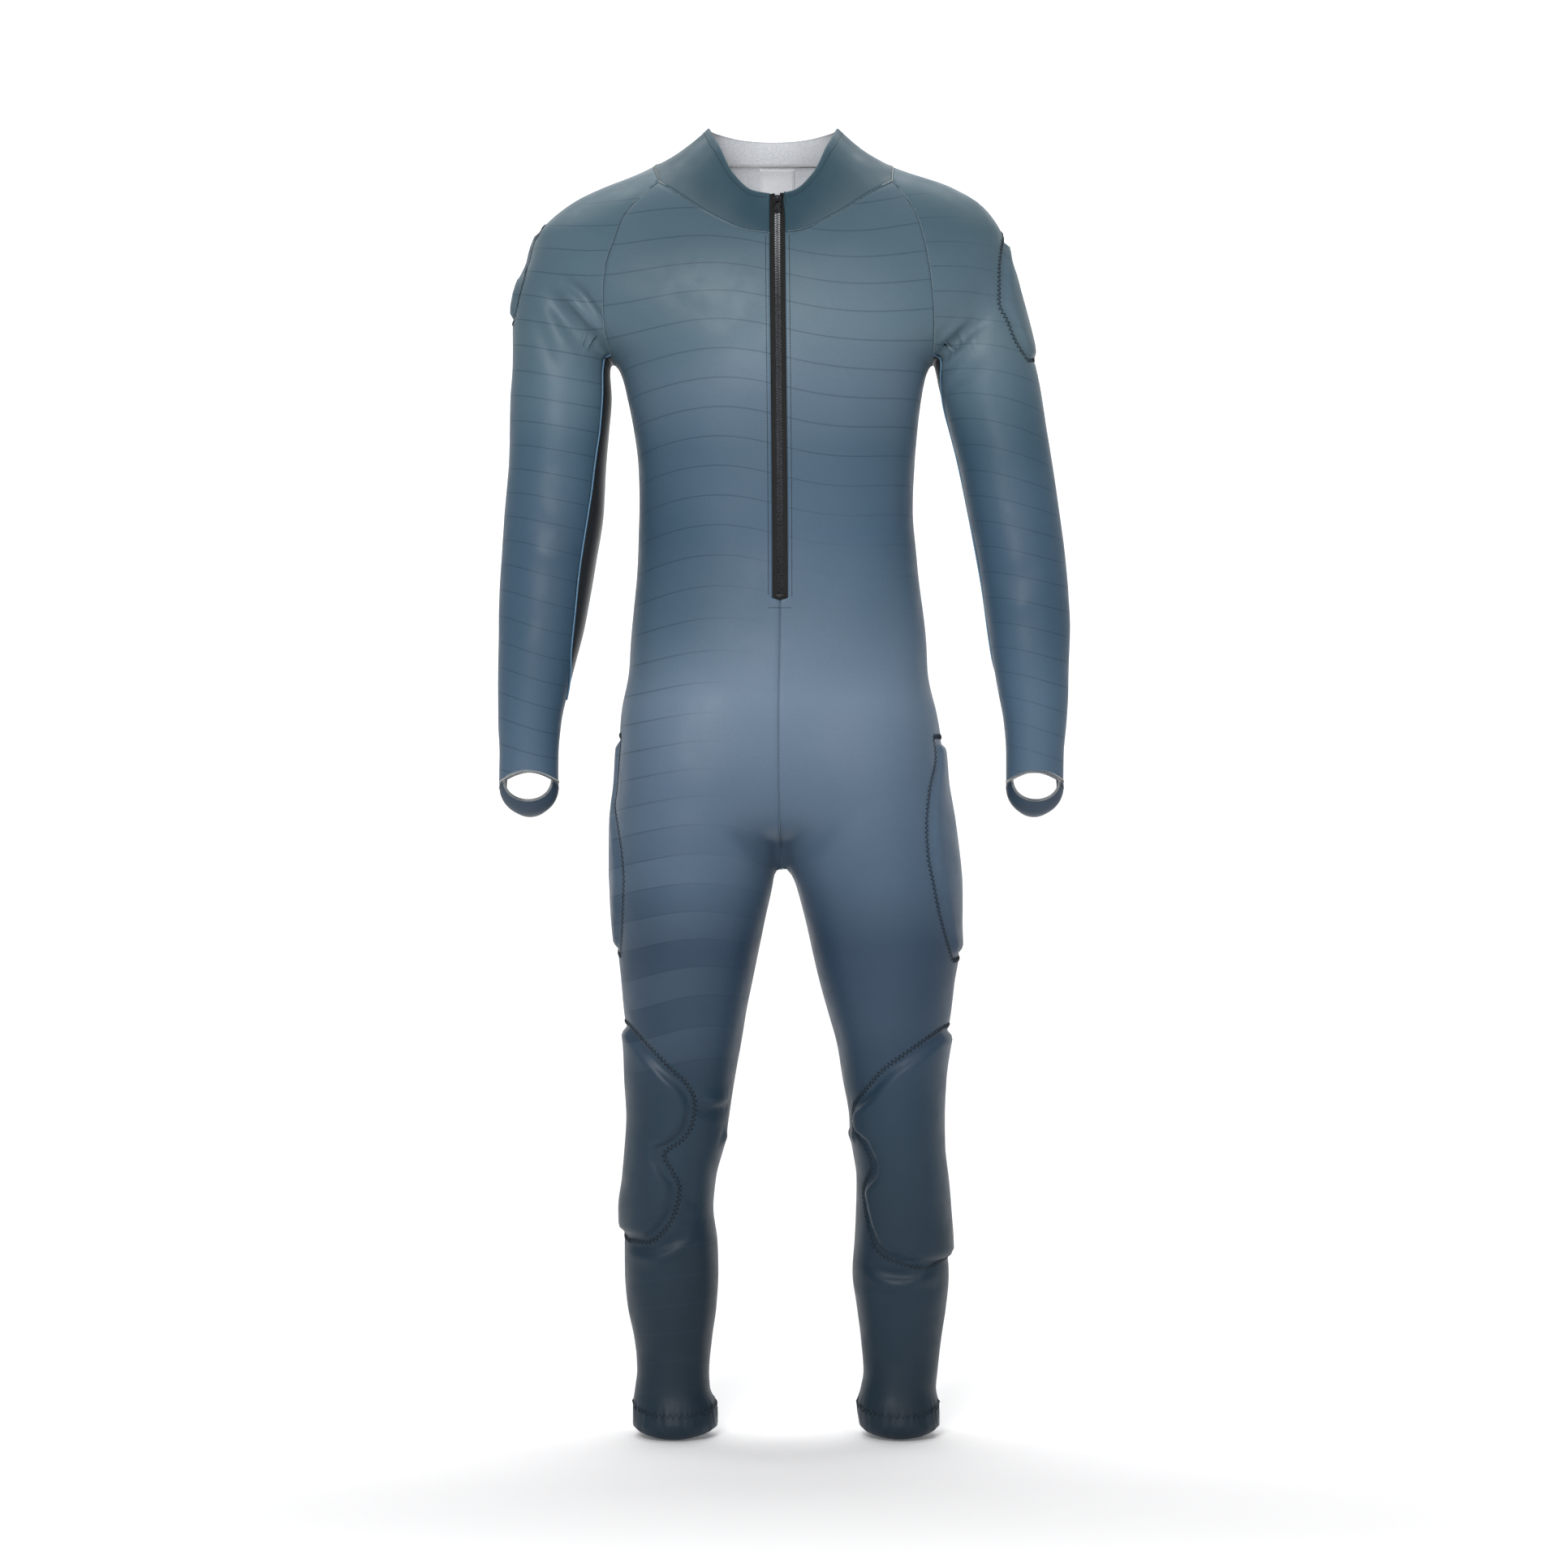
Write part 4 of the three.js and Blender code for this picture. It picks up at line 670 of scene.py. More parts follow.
crease_lines = [(piece, width, height, seen(*polyline(pixels).T)) for piece, width, height, pixels in CREASES]
for width, height, points in BACK_CREASES:
    flat = polyline(points, 5.0)
    crease_lines.append(("back", width, height, facing_point("back", flat[:, 0], flat[:, 1])))


def ripple(p):
    """The slight unevenness of cloth over a body: long, shallow and the same each time."""
    x, y, z = p[..., 0], p[..., 1], p[..., 2]
    return (0.35 * np.sin(z / 31 + x / 47) * np.sin(x / 39 - z / 83 + 1.3)
            + 0.25 * np.sin(z / 17 - x / 29 + y / 35 + 0.7) + 0.2 * np.sin(x / 13 + z / 61) * np.sin(z / 23 + 2.1))


def hem_pucker(p):
    """Small upright puckers that the hem's stitching draws up."""
    x, y, z = p[..., 0], p[..., 1], p[..., 2]
    axis_x = np.where(x < 0, LEG["right"].middle(z)[0], LEG["left"].middle(z)[0])
    turn = np.arctan2(x - axis_x, y)
    height = z + 12 * np.clip(-y / 45, -0.5, 1)
    near = smoothstep(-1412, -1398, height) * (1 - smoothstep(-1392, -1374, height))
    return 0.75 * near * sum(strength * np.sin(turn * waves + start) for waves, strength, start in PUCKERS)


def relief(piece, p):
    """How far the finished cloth lies outside the form."""
    lift = ripple(p)
    corner = np.minimum(*[np.linalg.norm(p - place, axis=-1) for place in ARMPIT.values()])
    calm = CALM + (1 - CALM) * smoothstep(CALM_FROM, CALM_TO, corner)
    for name, width, height, line in crease_lines:
        if name == piece:
            lift = lift + line_lift(p, line, width, height) * calm
    for pad in pads.values():
        if pad.piece == piece:
            lift = lift + pad.lift(p)
    if piece.startswith(("front", "back")):
        lift = lift + hem_pucker(p)
    return lift


# Meshes

def new_object(name, points, faces, materials, slots=None):
    mesh = bpy.data.meshes.new(name)
    mesh.from_pydata((np.asarray(points) * MM).tolist(), [], faces)
    for material in materials:
        mesh.materials.append(material)
    if slots is not None:
        mesh.polygons.foreach_set("material_index", np.asarray(slots, np.int32))
    mesh.polygons.foreach_set("use_smooth", np.full(len(mesh.polygons), True))
    mesh.update()
    made = bpy.data.objects.new(name, mesh)
    bpy.context.scene.collection.objects.link(made)
    return made


def with_edge_lines(grid):
    """The grid with one more line close inside each of its four edges."""
    for _ in range(2):
        for near, far in ((0, 1), (-1, -2)):
            way = grid[far] - grid[near]
            length = np.linalg.norm(way, axis=-1, keepdims=True)
            line = grid[near] + way * np.clip(EDGE_LINE / np.maximum(length, 1e-6), 0, 0.45)
            grid = np.insert(grid, 1 if near == 0 else -1, line, axis=0)
        grid = grid.transpose(1, 0, 2)
    return grid


def border(grid):
    """1 along the edges of a grid and 0 inside them."""
    mask = np.ones(grid.shape[:2])
    mask[1:-1, 1:-1] = 0
    return mask


def shell(name, parts, materials, depth=CLOTH):
    """Cloth of even thickness over grids of (points, ways out, lifts) that share some of their edges."""
    points, outs, patches = [], [], []
    for at, out, lift in parts:
        start = sum(len(p) for p in points)
        rows, width = at.shape[:2]
        corner = start + np.arange(rows - 1)[:, None] * width + np.arange(width - 1)[None]
        quads = np.stack([corner, corner + 1, corner + width + 1, corner + width], axis=-1).reshape(-1, 4)
        across, along = at[:-1, 1:] - at[:-1, :-1], at[1:, :-1] - at[:-1, :-1]
        if (np.cross(across, along) * out[:-1, :-1]).sum() < 0:
            quads = quads[:, ::-1]
        patches.append(quads)
        points.append((at + out * lift[..., None]).reshape(-1, 3))
        outs.append(out.reshape(-1, 3))
    points, outs, patches = np.concatenate(points), np.concatenate(outs), np.concatenate(patches)
    _, kept, index = np.unique(np.round(points * WELD).astype(np.int64), axis=0, return_index=True, return_inverse=True)
    index = index.reshape(-1)
    points, outs, patches = points[kept], outs[kept], index[patches]
    count = len(points)
    edges = np.stack([patches, np.roll(patches, -1, axis=1)], axis=-1).reshape(-1, 2)
    edges = edges[edges[:, 0] != edges[:, 1]]
    codes = edges[:, 0] * count + edges[:, 1]
    free = edges[~np.isin(codes, edges[:, 1] * count + edges[:, 0])]
    first, second = [np.linalg.norm(points[patches[:, i]] - points[patches[:, i + 2]], axis=-1) for i in (0, 1)]
    patches = np.where((first > second)[:, None], np.roll(patches, -1, axis=1), patches)
    faces, slots = [], []
    for a, b, c, d in patches.tolist():  # both faces of the cloth are cut along the same, shorter diagonal
        for corners in ((a, b, c), (a, c, d)):
            if len(set(corners)) == 3:
                faces.append(corners)
                faces.append([v + count for v in reversed(corners)])
                slots += [0, 1]
    for a, b in free.tolist():
        faces.append([b, a, a + count, b + count])
        slots.append(0)
    both = np.concatenate([points, points - outs * depth])
    return new_object(name, both, faces, materials, slots)


def grid_normals(grid, way):
    """The ways out of a grid, turned so that the one at its middle points along way."""
    out = unit(np.cross(np.gradient(grid, axis=1), np.gradient(grid, axis=0)))
    middle = out[out.shape[0] // 2, out.shape[1] // 2]
    return out if middle @ way > 0 else -out


def thread(name, lines, radius, material, sides=4):
    """Round threads along lines of points, in mm, capped at their ends."""
    points, faces = [], []
    for line in lines:
        line = np.asarray(line, float)
        way = unit(np.gradient(line, axis=0))
        guide = np.where(np.abs(way[:, 2:3]) > 0.9, np.array([1.0, 0, 0]), UP)
        side = unit(np.cross(way, guide))
        other = np.cross(way, side)
        turn = (np.arange(sides) / sides * 2 * np.pi)[:, None]
        ring = line[:, None] + radius * (side[:, None] * np.cos(turn) + other[:, None] * np.sin(turn))
        start = len(points)
        points.extend(ring.reshape(-1, 3))
        count = len(line)
        for row in range(count - 1):
            for i in range(sides):
                a, b = start + row * sides + i, start + row * sides + (i + 1) % sides
                faces.append([a, b, b + sides, a + sides])
        faces.append([start + i for i in reversed(range(sides))])
        faces.append([start + (count - 1) * sides + i for i in range(sides)])
    return new_object(name, points, faces, [material])


def even(line, step):
    """Points an even step apart along a line."""
    run = run_along(line)
    return follow(np.linspace(0, run[-1], max(2, int(round(run[-1] / step)) + 1)), run, line)


def stitches(line, out, length=2.4, gap=0.8, proud=0.35):
    """Short threads that lie on the cloth end to end and dip into it."""
    run = run_along(line)
    made = []
    for i in range(int(run[-1] / (length + gap))):
        t = i * (length + gap) + np.array([0, 0.25, 0.75, 1.0]) * length
        height = np.array([-0.35, 1, 1, -0.35]) * proud
        made.append(follow(t, run, line) + follow(t, run, out) * height[:, None])
    return made


def beside(line, out, distance):
    """Points a little to one side of a line that lies on the cloth."""
    return line + unit(np.cross(np.gradient(line, axis=0), out)) * distance


# Materials

def colour(hexcode):
    parts = [int(hexcode[i:i + 2], 16) / 255 for i in (1, 3, 5)]
    return tuple(c / 12.92 if c <= 0.04045 else ((c + 0.055) / 1.055) ** 2.4 for c in parts) + (1.0,)


class Nodes:
    """Short ways to add and join the nodes of one material."""

    def __init__(self, name, roughness=0.5, **constants):
        self.material = bpy.data.materials.new(name)
        self.material.use_nodes = True
        self.tree = self.material.node_tree
        self.shader = self.tree.nodes["Principled BSDF"]
        self.shader.inputs["Roughness"].default_value = roughness
        for key, value in constants.items():
            self.shader.inputs[key.replace("_", " ")].default_value = value
        self.place = self.add("ShaderNodeTexCoord").outputs["Object"]

    def add(self, kind, **settings):
        node = self.tree.nodes.new(kind)
        for key, value in settings.items():
            setattr(node, key, value)
        return node

    def feed(self, socket, value):
        if isinstance(value, bpy.types.NodeSocket):
            self.tree.links.new(value, socket)
        else:
            socket.default_value = value

    def math(self, operation, first, *others):
        """One value, or several joined by the same operation, from the left."""
        for other in others or (0.0,):
            node = self.add("ShaderNodeMath", operation=operation)
            self.feed(node.inputs[0], first)
            self.feed(node.inputs[1], other)
            first = node.outputs[0]
        return first

    def noise(self, scale, detail=2.0, stretch=None):
        node = self.add("ShaderNodeTexNoise")
        node.inputs["Scale"].default_value = scale
        node.inputs["Detail"].default_value = detail
        source = self.place
        if stretch:
            mapping = self.add("ShaderNodeMapping")
            mapping.inputs["Scale"].default_value = stretch
            self.tree.links.new(source, mapping.inputs["Vector"])
            source = mapping.outputs[0]
        self.tree.links.new(source, node.inputs["Vector"])
        return node.outputs["Fac"]

    def range(self, value, low, high, to_low=0.0, to_high=1.0):
        node = self.add("ShaderNodeMapRange", interpolation_type="SMOOTHSTEP")
        for socket, part in zip(node.inputs, (value, low, high, to_low, to_high)):
            self.feed(socket, part)
        return node.outputs[0]

    def ramp(self, value, stops):
        node = self.add("ShaderNodeValToRGB")
        while len(node.color_ramp.elements) < len(stops):
            node.color_ramp.elements.new(0.5)
        for element, (position, code) in zip(node.color_ramp.elements, stops):
            element.position = position
            element.color = colour(code)
        self.tree.links.new(value, node.inputs[0])
        return node.outputs[0]

    def mixed(self, share, one, other, kind="MIX"):
        node = self.add("ShaderNodeMix", data_type="RGBA", blend_type=kind)
        self.feed(node.inputs[0], share)
        self.feed(node.inputs[6], one)
        self.feed(node.inputs[7], other)
        return node.outputs[2]

    def bump(self, height, strength, distance):
        node = self.add("ShaderNodeBump")
        node.inputs["Strength"].default_value = strength
        node.inputs["Distance"].default_value = distance
        self.tree.links.new(height, node.inputs["Height"])
        self.tree.links.new(node.outputs[0], self.shader.inputs["Normal"])

    def finish(self, base):
        self.tree.links.new(base, self.shader.inputs["Base Color"])
        return self.material


def satin(name, stops, patch, lines=0.0, slant=0.0, spacing=52.0):
    """Printed satin stretch cloth: a colour gradient down the body from its stops (those of the body hold a painted
    highlight about the belly), soft patches, thin wavy lines and a fine knit.

    stops are colours at heights in mm, patch tints the soft patches, lines is the strength of the thin lines,
    slant their lean to one side and spacing the distance between them in mm."""
    n = Nodes(name, 0.48, Sheen_Weight=0.03, Sheen_Roughness=0.4, Specular_IOR_Level=0.3)
    axes = n.add("ShaderNodeSeparateXYZ")
    n.tree.links.new(n.place, axes.inputs[0])
    x, _, z = axes.outputs
    low, high = -1.43, 0.06
    base = n.ramp(n.range(z, low, high), [((height * MM - low) / (high - low), code) for height, code in stops])
    base = n.mixed(n.range(n.noise(3.2, 1.0), 0.40, 0.66), base, colour(patch), "MULTIPLY")
    wave = n.math("MULTIPLY", n.math("SINE", n.math("MULTIPLY", x, 21.0)), 0.32)
    drift = n.math("MULTIPLY", n.noise(2.6, 1.0), 1.9)
    level = n.math("ADD", n.math("MULTIPLY", z, 1 / (spacing * MM)), wave, n.math("MULTIPLY", x, slant), drift)
    band = n.range(n.math("PINGPONG", n.math("ADD", level, 0.5), 1.0), 0.49, 0.51)
    patchy = n.range(n.noise(1.7, 0.0, (1.6, 1.0, 0.5)), 0.5, 0.66)
    thigh = n.math("MULTIPLY", n.range(z, -1.05, -0.97), n.range(z, -0.80, -0.68, 1.0, 0.0))
    base = n.mixed(n.math("MULTIPLY", band, patchy, thigh, 0.05), base, colour("#8fa2b4"))
    line = n.range(n.math("PINGPONG", level, 0.5), 0.014, 0.032, 1.0, 0.0)
    shown = n.range(n.noise(2.1, 0.0, (1.0, 1.0, 0.7)), 0.40, 0.62)
    base = n.mixed(n.math("MULTIPLY", line, shown, lines), base, colour("#1d3242"))
    knit = n.noise(1500.0, 1.0, (1.0, 1.0, 0.45))
    base = n.mixed(n.range(knit, 0.3, 0.7, 0.0, 0.10), base, colour("#121d27"))
    n.tree.links.new(n.range(n.noise(40.0), 0.3, 0.7, 0.44, 0.54), n.shader.inputs["Roughness"])
    n.bump(knit, 0.10, 0.0004)
    return n.finish(base)


def plain(name, code, dark, roughness, grain, strength=0.3, distance=0.0004, stretch=None, **constants):
    """One colour that darkens in a fine grain, which is raised too."""
    n = Nodes(name, roughness, **constants)
    grain_height = n.noise(grain, stretch=stretch)
    base = n.mixed(n.range(grain_height, 0.3, 0.7), colour(dark), colour(code))
    n.bump(grain_height, strength, distance)
    return n.finish(base)


# Colours at heights down the body, mostly darker towards the feet. The light band round -560 mm, across the belly and
# hips, is partly the cloth's own colour and partly a painted highlight.
BODY_STOPS = [(-1430, "#132735"), (-1330, "#182d3c"), (-1180, "#223748"), (-1080, "#314458"), (-960, "#2d4055"),
              (-860, "#43576b"), (-700, "#53667a"), (-560, "#65788b"), (-420, "#52677a"), (-300, "#435a6e"),
              (-190, "#435a6c"), (-110, "#566a7b"), (-60, "#5a6f7c"), (60, "#4f6673")]
ARM_STOPS = [(-1430, "#2a3c4c"), (-700, "#4a5f73"), (-560, "#475e72"), (-430, "#3e566a"), (-300, "#3d5569"),
             (-180, "#425b6d"), (-110, "#586e7d"), (-60, "#60747f"), (0, "#566c79"), (30, "#4c6571"), (60, "#4c6571")]
cloth_front = satin("satin_front", BODY_STOPS, "#d6e1e3", 0.42, 1.6, 33.0)
cloth_back = satin("satin_back", BODY_STOPS, "#cfdde2", 0.40, -1.2, 36.0)
cloth_sleeve = satin("satin_sleeve", ARM_STOPS, "#d2dfe2", 0.45, 3.0, 28.0)
COLLAR_STOPS = [(-1430, "#1d3544"), (-90, "#213a49"), (0, "#2b4856"), (60, "#2f4d5a")]
cloth_collar = satin("satin_collar", COLLAR_STOPS, "#dfe8ea")
cloth_loop = satin("satin_loop", [(-1430, "#2f3f50"), (60, "#2f3f50")], "#e2e6ea")
cloth_black = plain("satin_black", "#14191e", "#0a0d10", 0.45, 900.0, Sheen_Weight=0.1)
cloth_inside = plain("cloth_inside", "#e6e8ec", "#cfd3d9", 0.7, 700.0, 0.25, Sheen_Weight=0.2)
thread_dark = plain("thread_dark", "#1a2935", "#101a22", 0.6, 1200.0)
thread_soft = plain("thread_soft", "#9db0ba", "#70848f", 0.6, 1200.0)
thread_grey = plain("thread_grey", "#c9c9c4", "#9c9d9b", 0.65, 1500.0)
thread_black = plain("thread_black", "#1c1f22", "#0c0e10", 0.6, 1500.0)
piping_blue = plain("piping_blue", "#5f86a3", "#446780", 0.5, 900.0)
label_satin = plain("label_satin", "#f4f5f8", "#e4e6ec", 0.32, 500.0, 0.12, 0.0003, (1.0, 1.0, 6.0),
                    Sheen_Weight=0.2)
foam_black = plain("foam", "#2c3034", "#17191c", 0.9, 420.0, 0.6, 0.001)
tape_black = plain("zip_tape", "#0b0b0c", "#040405", 0.85, 1600.0, 0.5, 0.0005, (1.0, 1.0, 0.5))
coil_black = plain("zip_teeth", "#0d0d0e", "#060607", 0.5, 700.0, 0.2)
metal_black = plain("zip_metal", "#3a3b3d", "#1d1e20", 0.32, 260.0, 0.15, 0.0003, Metallic=0.85)


def carries(node, material):
    """Gives a solid that stays in sight its material."""
    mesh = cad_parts[node].data
    mesh.materials.clear()
    mesh.materials.append(material)


# The cut pieces

def dress(made, slot_name, *nodes):
    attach(made, "suit")
    if nodes:
        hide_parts(*nodes)
    return made


def panel_part(piece, grid):
    """Points, ways out and lifts of a cut piece whose edges are turned in."""
    at = with_edge_lines(grid)
    return at, outward(at), relief(piece, at) - EDGE_SINK * border(at)


made_panels = {}
for side in SIGN:
    for piece, grid, cloth, slot_name in (("front", fine[side, "front"], cloth_front, "shell_front"),
                                          ("sleeve", sleeve[side], cloth_sleeve, "shell_sleeve"),
                                          ("underarm", underarm[side], cloth_black, "underarm")):
        name = f"{piece}_{side}"
        made = shell(f"{name}_cloth", [panel_part(name, grid)], [cloth, cloth_inside])
        made_panels[name] = dress(made, slot_name, name)

back_parts = []
for side in SIGN:
    at, out, lift = panel_part("back", fine[side, "back"])
    lift[:CROTCH_ROW + 1, 0] += EDGE_SINK
    lift[0, 0] -= EDGE_SINK
    back_parts.append((at, out, lift))
whole = slice(0, CROTCH_ROW + 1)
for i in range(3):
    shared = (back_parts[0][i][whole, 0] + back_parts[1][i][whole, 0]) / 2
    for part in back_parts:
        part[i][whole, 0] = shared
made_panels["back"] = dress(shell("back_cloth", back_parts, [cloth_back, cloth_inside]), "shell_back", "back")

# Collar: from its rim down to its seam, round the neck from one side of the zip to the other
halves = [np.concatenate([fine[side, "front"][0], shoulder_top[side][1:], fine[side, "back"][0][-2::-1]])
          for side in SIGN]
seam_line = np.concatenate([halves[0], halves[1][-2::-1]])
turn = neck_turn(seam_line)
degrees = np.degrees(np.abs(turn))
radius = RIM_RADIUS(degrees)
rim = vectors(NECK[0] + radius * np.sin(turn), NECK[1] - radius * np.cos(turn), RIM_HEIGHT(degrees))
rim[0, 0], rim[-1, 0] = seam_line[0, 0], seam_line[-1, 0]
waist = mix(seam_line, rim, 0.6)
waist[:, 2] = mix(seam_line[:, 2], rim[:, 2], 0.4)
t = np.linspace(0, 1, 19)[:, None, None]
collar_grid = (1 - t) ** 2 * rim + 2 * t * (1 - t) * waist + t ** 2 * seam_line
collar_at = with_edge_lines(collar_grid)
collar_out = grid_normals(collar_at, -FORWARD)
collar_out[-1] = outward(collar_at[-1])
collar_wave = 0.25 * np.sin(collar_at[..., 0] / 9) * np.sin(collar_at[..., 2] / 14)
collar_part = (collar_at, collar_out, collar_wave - EDGE_SINK * border(collar_at))
collar = dress(shell("collar_cloth", [collar_part], [cloth_collar, cloth_inside], 1.5), "collar", "collar")

# Hand loops: a band from the outer side of each wrist, round below the hand and up to the inner side
LOOP_FRONT, LOOP_BACK = (30, -2, -47), (56, 7, -18)  # drop, flare and y of the band's two edges
LOOP_SPREAD = 36  # half of the arc that each end takes of the wrist, in degrees
loops = {}
for side in SIGN:
    spread = np.linspace(-LOOP_SPREAD, LOOP_SPREAD, 13)
    share = np.linspace(0, 1, 13)
    outer_root = arm_point(side, 180 + spread, WRIST) - UP * 0.2
    inner_root = arm_point(side, -spread, WRIST) - UP * 0.2
    drop, flare, deep = [mix(a, b, share) for a, b in zip(LOOP_FRONT, LOOP_BACK)]
    down = vectors(outer_root[:, 0] + SIGN[side] * flare, deep, outer_root[:, 2] - drop)
    up = vectors(inner_root[:, 0] - SIGN[side] * flare, deep, inner_root[:, 2] - drop)
    t = np.linspace(0, 1, 45)[:, None, None]
    grid = (1 - t) ** 3 * outer_root + 3 * t * (1 - t) ** 2 * down + 3 * t ** 2 * (1 - t) * up + t ** 3 * inner_root
    out = grid_normals(grid, -UP)
    curl = 1.6 * np.sin(np.pi * share)[None] ** 2 * np.sin(np.pi * t[..., 0])
    loops[side] = dress(shell(f"hand_loop_{side}_cloth", [(grid, out, curl)], [cloth_loop, cloth_inside]), "loop",
                        f"hand_loop_{side}"), grid, out


# Foam pads

def pad_piece(name, grid, node):
    """The foam under the cloth, as thick as the cloth is raised over it."""
    pad = pads[name]
    rows, cols = np.where(pad.inside(grid) > PAD_EDGE + 1)
    part = grid[rows.min():rows.max() + 1, cols.min():cols.max() + 1]
    depth, out = pad.inside(part), outward(part)
    top = pad.swell(depth, PAD_EDGE + 1, PAD_SLOPE - 1) * FOAM_SHARE - CLOTH - FOAM_GAP
    low = -CLOTH - FOAM_BASE
    both = np.concatenate([(part + out * top[..., None]).reshape(-1, 3), (part + out * low).reshape(-1, 3)])
    keep = depth > PAD_EDGE
    height, width = keep.shape
    faces, edge, count = [], {}, height * width
    for r in range(height - 1):
        for c in range(width - 1):
            if keep[r:r + 2, c:c + 2].all():
                quad = [r * width + c, r * width + c + 1, (r + 1) * width + c + 1, (r + 1) * width + c]
                faces += [quad, [v + count for v in reversed(quad)]]
                for a, b in zip(quad, quad[1:] + quad[:1]):
                    if (b, a) in edge:
                        del edge[b, a]
                    else:
                        edge[a, b] = True
    faces += [[b, a, a + count, b + count] for a, b in edge]
    used = sorted({v for face in faces for v in face})
    index = {v: i for i, v in enumerate(used)}
    made = new_object(f"{node}_foam", both[used], [[index[v] for v in face] for face in faces], [foam_black])
    dress(made, "foam", node)


for side in SIGN:
    pad_piece(f"hip_{side}", fine[side, "front"], f"hip_pad_{side}")
    pad_piece(f"knee_{side}", fine[side, "front"], f"knee_pad_{side}")
    pad_piece(f"shoulder_{side}", sleeve[side], f"shoulder_pad_{side}")


PIECE_SLOT = {"front": "shell_front", "sleeve": "shell_sleeve", "back": "shell_back"}


def zigzag(name, piece, line, width=5.4, pitch=5.2):
    """A zigzag row of thread along a line of the form: it dips into the cloth at each corner."""
    centre = even(line, pitch / 2)
    side = np.where(np.arange(len(centre)) % 2 == 0, 0.5, -0.5)[:, None]
    corners = beside(centre, outward(centre), side * width)
    path = []
    for a, b in zip(corners[:-1], corners[1:]):
        path += [a, mix(a, b, 0.33), mix(a, b, 0.67)]
    path = settle(np.array(path + [corners[-1]]), 3)
    height = relief(piece, path) + np.where(np.arange(len(path)) % 3 == 0, ZIGZAG_DIP, ZIGZAG_PROUD)
    made = thread(name, [path + outward(path) * height[:, None]], ZIGZAG_THREAD, thread_dark)
    return dress(made, PIECE_SLOT[piece.split("_")[0]])


for name, pad in pads.items():
    levels = np.arange(pad.high - 4, pad.low + 4, -8.0)
    behind = point_at(pad.side, pad_axis(pad.piece, levels), np.full(len(levels), pad.back_angle), levels)
    top, foot = pad.line[[0, -1] if pad.line[0, 2] > pad.line[-1, 2] else [-1, 0]]
    steps = np.linspace(0, 1, 12)[:, None]
    ring_top, ring_foot = settle(mix(top, behind[0], steps), 8), settle(mix(behind[-1], foot, steps), 8)
    zigzag(f"zigzag_{name}", pad.piece, pad.line)
    zigzag(f"zigzag_{name}_behind", pad.piece, np.concatenate([ring_top[:-1], behind, ring_foot[1:]]))

# Hems: a zigzag row round each ankle
HEM_HEIGHT = 24
for side in SIGN:
    for facing in ("front", "back"):
        grid = fine[side, facing]
        row = np.argmin(np.abs(grid[:, 5, 2] - (grid[-1, 5, 2] + HEM_HEIGHT)))
        piece = f"front_{side}" if facing == "front" else "back"
        zigzag(f"hem_stitch_{side}_{facing}", piece, grid[row], 6.0, 6.4)


# Seams, zip and edges

def seam_rows(name, piece, line, slot_name="shell_front", material=thread_dark, offset=0.0, radius=SEAM_THREAD):
    """A row of stitches along a line of the form, or at a distance to one side of it, on the finished cloth."""
    line = even(line, 2.0)
    out = outward(line)
    if offset:
        line = settle(beside(line, out, offset), 3)
        out = outward(line)
    sunk = 0.0 if offset else 0.25
    rows = stitches(line + out * (relief(piece, line) - sunk)[:, None], out)
    dress(thread(name, rows, radius, material), slot_name)


for side in SIGN:
    front, panel = fine[side, "front"], f"front_{side}"
    seam_rows(f"raglan_stitch_front_{side}", panel, front[:ARMPIT_ROW + 1, -1], material=thread_soft)
    seam_rows(f"raglan_stitch_back_{side}", "back", fine[side, "back"][:ARMPIT_ROW + 1, -1], "shell_back", thread_soft)
    seam_rows(f"side_stitch_{side}", panel, front[ARMPIT_ROW:-3, -1])
    seam_rows(f"inseam_stitch_{side}", panel, front[CROTCH_ROW:-3, 0])
    seam_rows(f"zip_topstitch_{side}", panel, front[1:ZIP_ROW + 1, 0], offset=-SIGN[side] * 4.4, radius=TOP_THREAD)
    piping = underarm[side][:, -1]
    piping = even(piping + outward(piping) * 0.5, 3.0)
    dress(thread(f"piping_{side}", [piping], PIPING, piping_blue, 8), "underarm")
    seam_rows(f"underarm_stitch_{side}", f"sleeve_{side}", underarm[side][:, 0], "shell_sleeve")

centre_seam = fine["right", "front"][ZIP_ROW + 2:CROTCH_ROW + 1, 0]
seam_rows("centre_stitch", "front_right", centre_seam, material=thread_soft)
foot = ZIP_FOOT - 11.0
box_line = facing_point("front", np.linspace(CENTRE_X(foot) - 13, CENTRE_X(foot) + 13, 16), np.full(16, foot))
seam_rows("zip_foot_stitch", "front_right", box_line, radius=TOP_THREAD)
collar_stitch = even(seam_line + outward(seam_line) * 0.1, 2.0)
dress(thread("collar_stitch", stitches(collar_stitch, outward(collar_stitch)), SEAM_THREAD, thread_soft), "collar")


def overlock(name, line, out, inward, material, slot_name="loop", reach=3.6, pitch=1.25):
    """Threads wound over a cut edge: line is the edge, inward the way from it into the cloth."""
    centre = even(line, pitch / 8)
    run, source = np.linspace(0, 1, len(centre)), np.linspace(0, 1, len(line))
    n, into = unit(follow(run, source, out)), unit(follow(run, source, inward))
    phase = np.arange(len(centre)) / 8 * 2 * np.pi
    path = (centre + into * ((1 - np.cos(phase)) / 2 * reach - 0.5)[:, None]
            + n * (np.sin(phase) * 1.05 - CLOTH / 2)[:, None])
    dress(thread(name, [path], EDGE_THREAD, material), slot_name)


